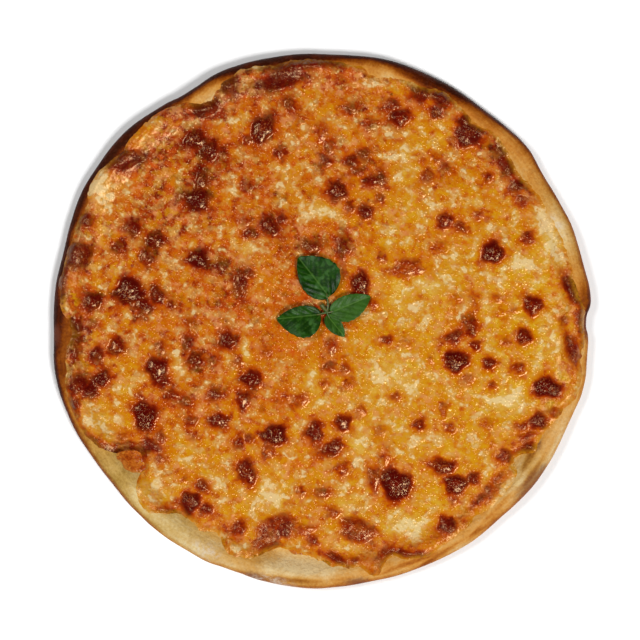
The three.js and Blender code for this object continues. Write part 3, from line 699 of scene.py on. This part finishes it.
# Curds that melted but stayed pale.
CURDS = [
    (-127, 78, 8, 13, 1.2, 15), (-110, 75, 5, 6, 0.7), (-51, 76, 5, 6, 0.8), (-42, 41, 6, 4.5, 0.9),
    (-20, 80, 3.5, 10, 0.7, 30), (-3, 63, 8, 4, 1.0, 5), (48, 92, 7, 14, 0.5), (63, 62, 5, 5, 0.5),
    (61, 20, 7, 4, 0.9), (74, 38, 6, 8, 0.5), (51, 6, 9, 5, 0.5), (131, 48, 5, 11, 1.2, 20),
    (125, 61, 5, 6, 0.9), (116, 33, 8, 4, 0.7), (130, -12, 6, 8, 0.6), (105, -45, 11, 7, 0.8),
    (42, -31, 11, 10, 0.6), (20, -68, 4, 9, 0.4), (47, -117, 9, 6, 1.4), (13, -106, 7, 6, 0.7),
    (8, -127, 9, 3, 0.5), (-5, -35, 3, 9, 0.8), (-44, -16, 2, 7, 0.7), (-82, -25, 2.5, 8, 0.8, 8),
    (-62, -90, 7, 5, 0.6), (-31, -101, 9, 8, 1.0), (-96, -98, 9, 7, 0.8), (-128, -57, 13, 8, 0.6, -45),
    (-42, -130, 8, 4, 1.0), (45, -65, 50, 35, 0.2), (85, 25, 35, 40, 0.15), (-5, -45, 16, 8, 0.25),
    (104, -94, 8, 1.4, 1.0, 57), (97, -106, 7, 1.4, 1.0, 50), (110, -82, 6, 1.4, 0.9, 85),
    (36, 112, 8, 5, 0.4),
]
# Patches where golden oil gathered.
OIL_PATCHES = [
    (-103, 105, 15, 6, 1.0, 48), (-127, 55, 9, 7, 0.5), (-143, 12, 5, 9, 0.9), (-118, 30, 13, 12, 0.4),
    (-10, 134, 9, 6, 0.7), (-90, 60, 9, 8, 0.3), (-128, 79, 5, 10, 0.3, 15), (-80, 15, 10, 8, 0.2),
    (20, 147, 8, 4, 0.6), (42, 134, 6, 5, 0.6), (60, 109, 10, 6, 0.3), (80, 84, 18, 16, 0.4),
    (105, 57, 8, 8, 0.8), (34, 46, 15, 8, 0.9), (48, 90, 8, 15, 0.2), (101, 22, 13, 10, 0.8),
    (126, 22, 9, 13, 1.0), (125, 61, 5, 6, 0.5), (51, 6, 10, 6, 0.5), (92, 2, 8, 8, 0.4),
    (-136, -11, 8, 8, 0.6), (-130, -57, 15, 8, 0.8, -45), (-69, -72, 16, 11, 0.5), (-96, -100, 9, 9, 0.9),
    (-60, -89, 9, 6, 0.4), (-22, -126, 10, 5, 0.6), (-140, -22, 5, 8, 0.6), (-112, -74, 10, 4, 0.4),
    (45, -9, 11, 7, 0.5), (62, -18, 9, 12, 0.4), (101, -10, 11, 8, 0.4), (130, -10, 8, 10, 0.5),
    (140, -34, 7, 9, 0.8), (84, -48, 14, 10, 0.4), (90, -73, 10, 15, 0.8), (54, -76, 13, 10, 0.5),
    (61, -104, 9, 11, 0.6), (18, -134, 7, 5, 0.6), (100, -62, 8, 8, 0.4), (-42, -131, 7, 3, 0.6),
    (95, 5, 50, 60, 0.18), (-72, 72, 55, 40, 0.3), (-130, 0, 16, 60, 0.3), (40, 52, 18, 12, 0.4),
    (-10, 5, 24, 40, -0.5, 35), (-45, -55, 26, 14, -0.4), (-50, 102, 22, 20, -0.4),
    (-2, -76, 14, 12, -0.5),
]
# Bearing, how much darker the cheese is toasted along its edge, half-width in degrees.
EDGE_TOAST = [
    (100, 0.5, 16), (68, 0.3, 8), (40, 0.2, 10), (142, 0.45, 3), (165, 0.3, 12), (195, 0.3, 12),
    (215, 0.35, 4), (225, -0.1, 5), (236, 0.2, 6), (256, 0.15, 8), (284, 0.2, 6), (305, -0.1, 8),
    (322, -0.1, 8), (348, 0.15, 6), (8, 0.25, 6),
]
# The same, for where the lip stays too thick to look pale.
THICK_LIPS = [(215.5, 1.1, 5), (140, 0.8, 66)]


def melt_top(bearing, from_edge, reach):
    """Height of the top of the cheese at a reach from the middle and a distance in from its own edge."""
    inset = pizza_edge(bearing) - reach
    x, y = around(bearing, reach)
    lump = 0.4 * np.sin(x / 11 + 1.3) * np.sin(y / 9 + 0.4)
    lump += 0.3 * np.sin((x + y) / 17) * np.sin((x - y) / 14 + 2)
    lip = np.sin(np.pi / 2 * np.clip(from_edge / MELT_LIP, 0, 1)) ** 1.5
    inner = smooth(2, RIM_WIDTH, inset)
    thick = RIM_SKIN + (MELT + SAUCE_ROOM + lump - RIM_SKIN) * inner
    return dough_top(bearing, inset) - EDGE_SUNK + (EDGE_SUNK + LAYER_GAP + thick) * lip


def ragged_edge(bearing, share):
    """The outline of the cheese with its small teeth, where it lies clear of the pizza's edge."""
    on_ring = np.column_stack([*around(bearing, TEETH_RING), 0 * bearing])
    teeth = 0.9 * rough(on_ring, 6) + 0.7 * rough(on_ring + 9, 2)
    reach = melt_edge(bearing)
    return reach + np.where(reach < pizza_edge(bearing) - 3, 1 + teeth, 0) * share


def spread(x, y, ovals):
    """Sums the amounts of the soft ovals at each place."""
    total = np.zeros_like(x)
    for at_x, at_y, long, short, amount, *turned in ovals:
        along, across = in_oval(x, y, at_x, at_y, long, short, *turned)
        total += amount * np.exp(-0.8 * (along**2 + across**2))
    return total


GRID_CELLS = 290
OUTLINE_STEPS = 1800
TUCK = 18  # how far in from its edge the sheet's flat underside begins
EDGE_ZONE = 16  # how far in the distance to the ragged edge matters
sheet = bmesh.new()
bmesh.ops.create_grid(sheet, x_segments=GRID_CELLS, y_segments=GRID_CELLS, size=1)
border = [edge for edge in sheet.edges if edge.is_boundary]
for level in (-1, -2, -3):
    grown = bmesh.ops.extrude_edge_only(sheet, edges=border)["geom"]
    border = [part for part in grown if isinstance(part, bmesh.types.BMEdge)]
    for corner in {corner for part in border for corner in part.verts}:
        corner.co = (0, 0, level) if level == -3 else (corner.co.x, corner.co.y, level)
bmesh.ops.remove_doubles(sheet, verts=sheet.verts, dist=1e-6)
bmesh.ops.recalc_face_normals(sheet, faces=sheet.faces)
cheese = piece_from(sheet, "melted_mozzarella")
# Level 0 is the top, -1 its border on the dough, -2 the border of the flat underside, -3 its middle.
grid_x, grid_y, level = corners_of(cheese).T
# The square grid becomes a disc: each square ring becomes a round one.
square_reach = np.maximum(np.abs(grid_x), np.abs(grid_y))
steep = np.abs(grid_y) > np.abs(grid_x)
with np.errstate(divide="ignore", invalid="ignore"):
    turn = np.where(steep, np.pi / 2 - np.pi / 4 * grid_x / grid_y, np.pi / 4 * grid_y / grid_x)
turn = np.nan_to_num(turn)
turn = np.where(np.where(steep, grid_y < 0, grid_x < 0), turn + np.pi, turn)
bearing = np.degrees(turn) % 360
from_edge = (1 - square_reach) * melt_edge(bearing) + TUCK * (level == -2)
x, y = around(bearing, ragged_edge(bearing, square_reach**6) - from_edge)
outline = kdtree.KDTree(OUTLINE_STEPS)
bearings = np.arange(OUTLINE_STEPS) * 360 / OUTLINE_STEPS
for step, place in enumerate(zip(*around(bearings, ragged_edge(bearings, 1.0)))):
    outline.insert((*place, 0), step)
outline.balance()
for corner in np.flatnonzero((from_edge < EDGE_ZONE) & (level >= 0)):
    from_edge[corner] = min(from_edge[corner], outline.find((x[corner], y[corner], 0))[2])
reach = np.hypot(x, y)
inset = pizza_edge(bearing) - reach
dough = dough_top(bearing, inset)
bottom = dough + np.where(level < -1, SAUCE + SAUCE_CLEAR, -UNDERSIDE_SUNK)
height = np.where(level < 0, bottom, melt_top(bearing, from_edge, reach)) + dough_lumps(x, y, dough, inset)

dome, heat, halo, crinkle = np.zeros((4, len(x)))
for at_x, at_y, long, short, dark, *turned in BLISTERS:
    near = np.hypot(x - at_x, y - at_y) < 3 * long + 4
    along, across = in_oval(x[near], y[near], at_x, at_y, long, short, *turned)
    round_by = np.arctan2(across, along)
    away = np.hypot(along, across)
    away /= 1 + 0.1 * np.sin(3 * round_by + at_x) + 0.07 * np.sin(5 * round_by + at_y)
    rise = BLISTER_RISE * min(1.25, math.sqrt(short / 5)) * (0.35 + 0.65 * dark)
    border = 2.2 / short
    hollow = 0.12 + 0.12 * math.sin(7 * at_x + 3 * at_y)
    core = dark**1.15 * smooth(1 + 0.7 * border, 1 - 1.1 * border, away)
    core *= 1 - hollow * smooth(0.6, 0.1, away)
    dome[near] = np.maximum(dome[near], rise * np.clip(1 - away**2, 0, 1) ** 0.6)
    heat[near] = np.maximum(heat[near], core)
    halo[near] = np.maximum(halo[near], dark * smooth(1 + 5.5 / short, 0.8, away))
    crinkle[near] = np.maximum(crinkle[near], smooth(1.1, 0.7, away) * dark)

spots = np.column_stack([x, y, height])
coarse = rough(spots, 7, 3)
fine = rough(spots + 30, 3, 2)
relief = 0.3 * coarse + 0.12 * fine + dome * (1 + 0.17 * fine * crinkle)
relief *= 0.3 + 0.7 * smooth(0, 4, from_edge)
spots[:, 2] += np.where(level >= 0, relief, 0)
move_corners(cheese, spots)
give(
    cheese,
    toasting=heat,
    halo=halo,
    darker=spread(x, y, BAKED_SHADED_AND_LIT_PATCHES),
    curd=np.clip(spread(x, y, CURDS), 0, 1.4),
    oil=np.clip(spread(x, y, OIL_PATCHES), 0, 1),
    saucy=np.clip(spread(x, y, SAUCY_PATCHES), 0, 1),
    lip=smooth(4, 0, from_edge) * np.clip(1 - swells(bearing, THICK_LIPS), 0, 1),
    dry=smooth(26, 8, from_edge),
    crust_top=crinkle,
    edge_toast=smooth(7, 0, from_edge) * np.clip(0.1 + swells(bearing, EDGE_TOAST), 0, 0.5),
)
to_metres(cheese)

BEAD_STEEPNESS = 0.18  # height of a bead as a share of its radius


def freckle_group():
    """Scattered round spots with soft, wandering borders: a mask of 0 to 1."""
    group, given, place = started_group(
        "Freckles", "Mask", ("Size mm", 6.0), ("Share", 0.5), ("Reach", 0.4), ("Wander mm", 1.5)
    )
    drift = add(group, "TexNoise", {"Vector": place, "Scale": 420.0, "Detail": 3.0}).outputs["Color"]
    drift = add(group, "VectorMath", {0: drift, 1: (0.5, 0.5, 0.5)}, operation="SUBTRACT").outputs[0]
    far = times(group, given["Wander mm"], 0.004)
    drift = add(group, "VectorMath", {0: drift, "Scale": far}, operation="SCALE").outputs[0]
    place = add(group, "VectorMath", {0: place, 1: drift}, operation="ADD").outputs[0]
    cells = add(group, "TexVoronoi", {"Vector": place, "Scale": per_metre(group, given["Size mm"])}).outputs
    chance = add(group, "SeparateColor", {"Color": cells["Color"]}).outputs
    radius = times(group, given["Reach"], calc(group, "ADD", chance[1], 0.5))
    spot = soft_step(group, radius, times(group, radius, 0.3), cells["Distance"])
    chosen = calc(group, "LESS_THAN", chance[0], given["Share"])
    return finished_group(group, times(group, spot, chosen, summed(group, 0.4, (chance[2], 0.6))))


def bead_group():
    """Round beads of fat, scattered over the skin: their height in mm."""
    group, given, place = started_group("Fat beads", "Height mm", ("Spacing mm", 2.6), ("Share", 0.5))
    scale = per_metre(group, given["Spacing mm"])
    cells = add(group, "TexVoronoi", {"Vector": place, "Scale": scale}, voronoi_dimensions="2D").outputs
    chance = add(group, "SeparateColor", {"Color": cells["Color"]}).outputs
    radius = summed(group, 0.2, (chance[1], 0.25))
    away = calc(group, "DIVIDE", cells["Distance"], radius)
    cap = calc(group, "MAXIMUM", calc(group, "SUBTRACT", 1.0, times(group, away, away)), 0.0)
    tall = times(group, radius, given["Spacing mm"], BEAD_STEEPNESS)
    chosen = calc(group, "LESS_THAN", chance[0], given["Share"])
    return finished_group(group, times(group, cap, tall, chosen))


freckle = freckle_group()
bead = bead_group()


def freckles(tree, size, share, reach=0.4, wander=1.5):
    numbers = {"Size mm": size, "Share": share, "Reach": reach, "Wander mm": wander}
    return add(tree, "Group", numbers, node_tree=freckle).outputs["Mask"]


def beads(tree, spacing, share):
    return add(tree, "Group", {"Spacing mm": spacing, "Share": share}, node_tree=bead).outputs["Height mm"]


cheese_finish, tree, surface = fresh_material("melted_mozzarella")
bake = summed(
    tree, 0.31,
    (blotches(tree, 16, 0.4, 0.6), 0.08),
    (blotches(tree, 6, 0.5, 0.66, 0.4, 0.0), -0.15),
    (blotches(tree, 4.4, 0.5, 0.68, 0.45, 0.0), 0.2),
    (blotches(tree, 1.5, 0.4, 0.64, 0.45, 0.0), 0.05),
    (blotches(tree, 0.7, 0.4, 0.6, 0.3, 0.0), 0.04),
    (freckles(tree, 8, 0.5, 0.5, 2.0), 0.16),
    (freckles(tree, 4.2, 0.4, 0.45), 0.12),
    (freckles(tree, 3, 0.35, 0.42, 1.2), -0.08),
    (stored(tree, "darker"), 1.0),
    (stored(tree, "edge_toast"), 1.0),
    (stored(tree, "halo"), 0.26),
)
bake = calc(tree, "MAXIMUM", calc(tree, "SUBTRACT", bake, 0.06), 0.0)
blister = uneven_heat(tree, stored(tree, "toasting"), 0.2, 2.0)
bake = calc(tree, "ADD", bake, times(tree, blister, calc(tree, "SUBTRACT", 1.0, bake)), clamp=True)
milky = ramp(tree, bake, [
    (0.0, 230, 186, 96), (0.2, 212, 148, 22), (0.4, 202, 112, 0), (0.55, 186, 76, 0),
    (0.7, 154, 42, 0), (0.85, 114, 12, 0), (1.0, 84, 0, 0),
])
oily = ramp(tree, bake, [
    (0.0, 220, 176, 40), (0.2, 212, 143, 0), (0.4, 204, 112, 0), (0.55, 188, 78, 0),
    (0.7, 156, 42, 0), (0.85, 116, 12, 0), (1.0, 82, 0, 0),
])
oil = summed(
    tree, -0.02,
    (stored(tree, "oil"), 0.8),
    (blotches(tree, 9, 0.45, 0.55), 0.75),
    (blotches(tree, 3, 0.42, 0.58, 0.5, 0.0), 0.45),
)
milk = blended(tree, oil, milky, oily)
burnt = calc(tree, "MAXIMUM", blister, times(tree, stored(tree, "halo"), 0.7))
unburnt = calc(tree, "POWER", calc(tree, "SUBTRACT", 1.0, burnt), 2.5)
red = summed(tree, 0.0, (blotches(tree, 5.2, 0.55, 0.64, 0.45, 0.0), 0.5), (stored(tree, "saucy"), 0.6))
red = times(tree, red, summed(tree, 0.25, (blotches(tree, 6, 0.44, 0.58, 0.5, 0.0), 0.75)), unburnt)
milk = blended(tree, red, milk, paint(204, 82, 14))
rosy = times(tree, blotches(tree, 8, 0.5, 0.6, 0.4, 0.0), blotches(tree, 3.2, 0.44, 0.6, 0.5, 0.0), unburnt)
milk = painted(tree, milk, rosy, 0.7, 224, 146, 88)
golden = summed(tree, 0.3, (stored(tree, "oil"), 0.8))
golden = times(tree, golden, blotches(tree, 4.6, 0.5, 0.6, 0.45, 0.0), unburnt)
milk = painted(tree, milk, golden, 0.75, 214, 150, 0)
curd = summed(
    tree, 0.0,
    (stored(tree, "curd"), 1.0),
    (blotches(tree, 7, 0.48, 0.62, 0.4, 0.0), 0.85),
    (blotches(tree, 4, 0.52, 0.66, 0.4, 0.0), 0.55),
    (stored(tree, "saucy"), -0.5),
)
curd = times(tree, curd, summed(tree, 0.6, (blotches(tree, 2.0, 0.34, 0.62, 0.4, 0.0), 0.4)))
curd = calc(tree, "MULTIPLY", curd, unburnt, clamp=True)
fresh_curd = ramp(tree, curd, [(0.0, 204, 142, 34), (0.6, 214, 170, 88), (1.0, 236, 210, 152)])
milk = blended(tree, times(tree, curd, 0.78), milk, fresh_curd)
# Small pale flecks over the unburnt cheese: partly fat in the curd, partly painted glints.
flecks_and_glints = times(tree, blotches(tree, 0.75, 0.55, 0.64, 0.3, 0.0), unburnt)
milk = painted(tree, milk, flecks_and_glints, 0.22, 228, 164, 70)
thin = times(tree, stored(tree, "lip"), summed(tree, 0.4, (blotches(tree, 3, 0.34, 0.56), 0.6)))
milk = painted(tree, milk, thin, 0.8, 206, 140, 20)
# Pale dots on the burnt blister tops: partly tiny bubbles in the skin, partly painted glints.
foam_and_glints = times(tree, stored(tree, "crust_top"), blotches(tree, 7, 0.42, 0.56))
foam_and_glints = times(tree, foam_and_glints, blotches(tree, 0.9, 0.56, 0.66, 0.3, 0.0))
milk = painted(tree, milk, foam_and_glints, 0.45, 196, 110, 50)
pitted = summed(tree, 0.35, (blotches(tree, 7, 0.45, 0.6), 0.65))
lumps = summed(
    tree, 0.0,
    (wet_relief(tree, 5, 0.2), 0.2),
    (times(tree, pitted, wet_relief(tree, 3.0, 0.12)), 0.2),
    (times(tree, stored(tree, "crust_top"), beads(tree, 1.3, 0.8)), 0.9),
    (times(tree, stored(tree, "dry"), wet_relief(tree, 1.5, 0.3)), 0.12),
    (times(tree, pitted, beads(tree, 3.1, 0.8)), 1.15),
    (beads(tree, 2.1, 0.7), 1.05),
)
feed(tree, surface, {
    "Base Color": milk,
    "Roughness": summed(tree, 0.15, (stored(tree, "dry"), 0.13)),
    "Specular IOR Level": 0.4,
    "Specular Tint": (1, 0.68, 0.36, 1),
    "Normal": bumped(tree, lumps, 1.0, 0.001),
})
cheese.data.materials.append(cheese_finish)
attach(cheese, "root")
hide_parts("mozzarella")

# ---- Basil -----------------------------------------------------------------------------------
# The tip of a basil plant laid on after baking: two crossed pairs of leaves on a short cut stem. The
# blades bulge between their side veins and are darker above than the veins.
SEAT = float(melt_top(np.zeros(1), np.full(1, MELT_REACH), np.zeros(1))[0])
LEAF_THICKNESS = 0.5
LEAF_LIFT = 0.7
VEIN_SPACING = 5.2
STALK_IN_LEAF = 2.6  # how far a leaf's stalk runs under its blade
SPRIG_NODE = (3, 5.2)  # where the stalks meet
# Base in mm, bearing of the midrib, length and the half-widths to its left and right, height of the arch,
# how steeply the halves fold up, and how far its green is painted lighter as sheen, 0 to 1.
SPRIG_LEAVES = [
    dict(
        name="basil_leaf_broad", base=(4.2, 13.5), bearing=128, length=29, left=9, right=14.5,
        rise=2.2, fold=0.14, sheen=0.0,
    ),
    dict(
        name="basil_leaf_left", base=(-0.4, 3.8), bearing=186, length=25.7, left=12.3, right=6,
        rise=1.9, fold=0.26, sheen=0.15,
    ),
    dict(
        name="basil_leaf_right", base=(4.6, 4.6), bearing=22.5, length=25, left=6, right=8.8,
        rise=2.0, fold=0.12, sheen=0.8,
    ),
    dict(
        name="basil_leaf_small", base=(2.8, 3.4), bearing=-51, length=16, left=4.1, right=4.6,
        rise=1.7, fold=0.22, sheen=0.6,
    ),
]


def ovate(along):
    """Half-width of a pointed oval leaf, as a share of its widest, at a share of its length."""
    base_power, tip_power = 0.55, 0.85
    widest = base_power / (base_power + tip_power)

    def shape(t):
        return t**base_power * (1 - t) ** tip_power

    return shape(along) / shape(widest)


def blade_height(leaf, along, side, half_width):
    """Height over the cheese, a share of the way along the leaf and, from -1 to 1, across it."""
    arch = leaf["rise"] * np.sin(np.pi * (0.12 + 0.8 * along))
    ruffle = 0.35 * np.sin(13 * along + 2 * side) * np.abs(side)
    return LEAF_LIFT + arch + leaf["fold"] * np.abs(side) * half_width + ruffle


def on_leaf(leaf, along, across):
    """X and Y of a place that lies so far along a leaf and to the left of its midrib."""
    turn = math.radians(leaf["bearing"])
    return (
        leaf["base"][0] + along * math.cos(turn) - across * math.sin(turn),
        leaf["base"][1] + along * math.sin(turn) + across * math.cos(turn),
    )


basil_finish, tree, surface = fresh_material("basil_leaf")
# Painted sheen: each leaf's green is painted lighter by its sheen, with lighter patches laid over it.
green = blended(tree, stored(tree, "sheen"), paint(22, 64, 0), paint(62, 102, 34))
green = painted(tree, green, blotches(tree, 7, 0.5, 0.6, 0.4), 0.6, 66, 108, 50)
matt = summed(tree, 1.0, (stored(tree, "sheen"), -0.8))
green = painted(tree, green, times(tree, blotches(tree, 5, 0.46, 0.58, 0.5), matt), 0.75, 8, 36, 0)
green = painted(tree, green, stored(tree, "vein"), 0.34, 98, 140, 50)
feed(tree, surface, {
    "Base Color": green,
    "Roughness": 0.34,
    "Specular IOR Level": 0.11,
    "Subsurface Weight": 0.04,
    "Subsurface Radius": (0.001, 0.002, 0.0005),
    "Normal": bumped(tree, blotches(tree, 1.2, 0.3, 0.7), 0.35, 0.0002),
})

for leaf in SPRIG_LEAVES:
    blade = bmesh.new()
    bmesh.ops.create_grid(blade, x_segments=44, y_segments=28, size=1)
    piece = piece_from(blade, leaf["name"])
    spots = corners_of(piece)
    along = 0.5 + 0.485 * spots[:, 0]
    side = spots[:, 1]
    out = np.abs(side)
    half_width = np.where(side < 0, leaf["right"], leaf["left"]) * ovate(along)
    half_width *= 1 + 0.02 * np.sin(46 * along) * smooth(0.1, 0.3, along)
    off_midrib = out * half_width
    run = (along * leaf["length"] - 1.05 * off_midrib**1.15) / VEIN_SPACING
    bulge = 0.5 - 0.5 * np.cos(2 * np.pi * run)
    side_veins = 0.5 * smooth(0.1, 0.02, bulge) * smooth(0.95, 0.5, out)
    vein = np.maximum(side_veins, smooth(0.6, 0.2, off_midrib))
    height = SEAT + blade_height(leaf, along, side, half_width) - 0.3 * smooth(1.2, 0, off_midrib)
    height += 0.36 * bulge * smooth(0.3, 2.5, off_midrib) * smooth(1.05, 0.7, out)
    x, y = on_leaf(leaf, along * leaf["length"], side * half_width)
    move_corners(piece, np.column_stack([x, y, height]))
    give(piece, vein=vein, sheen=np.full(len(spots), leaf["sheen"]))
    to_metres(piece)
    thicken = piece.modifiers.new("thickness", "SOLIDIFY")
    thicken.thickness = LEAF_THICKNESS * 0.001
    thicken.offset = 0
    piece.data.materials.append(basil_finish)
    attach(piece, "root")
    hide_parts("basil_sprig")


def bent_stalk(shape, route, radii, rings=10):
    """Adds a round stalk along a route of points, with a radius at each point."""
    route = np.array(route, dtype=float)
    stations = np.linspace(0, 1, len(route))

    def at(t):
        return Vector([np.interp(t, stations, route[:, axis]) for axis in range(3)])

    outline = [Vector((math.cos(turn), math.sin(turn), 0)) for turn in np.arange(12) * math.tau / 12]
    before = None
    for t in np.linspace(0, 1, rings):
        facing = (at(min(1, t + 0.08)) - at(max(0, t - 0.08))).to_track_quat("Z", "Y")
        radius = float(np.interp(t, stations, radii))
        ring = [shape.verts.new(at(t) + facing @ (corner * radius)) for corner in outline]
        if before is None:
            shape.faces.new(ring)
        else:
            for one, other in zip(range(12), [*range(1, 12), 0]):
                shape.faces.new((before[one], before[other], ring[other], ring[one]))
        before = ring
    shape.faces.new(before)


stems = bmesh.new()
node_x, node_y = SPRIG_NODE
route = [(0.4, -0.6, 2.6), (0, 0, 1.9), (-2, 2.2, 1.6), (-3.4, 4.2, 1.7)]
cut_end = [(node_x + dx, node_y + dy, SEAT + lift) for dx, dy, lift in route]
bent_stalk(stems, cut_end, [0.7, 1.05, 1.2, 1.5])
for leaf in SPRIG_LEAVES:
    lift = float(blade_height(leaf, STALK_IN_LEAF / leaf["length"], 0.0, 0.0)) - 0.3
    joint = (*on_leaf(leaf, STALK_IN_LEAF, 0), SEAT + lift)
    bend = ((node_x + leaf["base"][0]) / 2, (node_y + leaf["base"][1]) / 2, SEAT + 2.1)
    bent_stalk(stems, [(node_x, node_y, SEAT + 1.9), bend, joint], [0.75, 0.6, 0.45])
bmesh.ops.recalc_face_normals(stems, faces=stems.faces)
stem = piece_from(stems, "basil_stem")
to_metres(stem)
stem_finish, tree, surface = fresh_material("basil_stem")
juicy = blended(tree, blotches(tree, 2, 0.4, 0.6), paint(52, 84, 16), paint(96, 92, 40))
feed(tree, surface, {"Base Color": juicy, "Roughness": 0.45})
stem.data.materials.append(stem_finish)
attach(stem, "root")
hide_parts("basil_sprig")

# ---- Table, light and camera -----------------------------------------------------------------
# A plain white table under two large round soft lamps high above it: the stronger one stands at the
# lower right and the weaker one at the left. The camera looks straight down.
TABLE_HALF = 1500
table = bmesh.new()
bmesh.ops.create_grid(table, x_segments=1, y_segments=1, size=TABLE_HALF)
floor = piece_from(table, "table_top")
to_metres(floor)
floor_finish, tree, surface = fresh_material("white_table")
feed(tree, surface, {"Base Color": (0.9, 0.9, 0.9, 1), "Roughness": 0.9})
floor.data.materials.append(floor_finish)

LAMP_WIDTH = 0.95  # in metres, as are the places of the lamps and the camera


def soft_lamp(name, place, watts):
    lamp = bpy.data.lights.new(name, "AREA")
    lamp.shape = "DISK"
    lamp.size = LAMP_WIDTH
    lamp.energy = watts
    holder = bpy.data.objects.new(name, lamp)
    holder.location = place
    holder.rotation_euler = (-Vector(place)).to_track_quat("-Z", "Y").to_euler()
    bpy.context.scene.collection.objects.link(holder)


soft_lamp("key_lamp", (1.02, -1.13, 2.35), 71)
soft_lamp("left_lamp", (-1.55, 0.5, 2.2), 40)
world = bpy.data.worlds.new("studio")
world.use_nodes = True
feed(world.node_tree, world.node_tree.nodes["Background"], {"Color": (1, 1, 1, 1), "Strength": 0.1})
bpy.context.scene.world = world
bpy.context.scene.view_settings.view_transform = "Standard"

VIEW_CENTRE = (-0.00114, 0.00057)
VIEW_LEVEL = 0.006  # half the height of the rim
VIEW_WIDTH = 0.3648  # how much the camera sees across at that level
lens = bpy.data.cameras.new("overhead")
lens.lens = 180
lens.sensor_width = 36
camera = bpy.data.objects.new("overhead", lens)
camera.location = (*VIEW_CENTRE, VIEW_LEVEL + VIEW_WIDTH * lens.lens / lens.sensor_width)
bpy.context.scene.collection.objects.link(camera)
bpy.context.scene.camera = camera
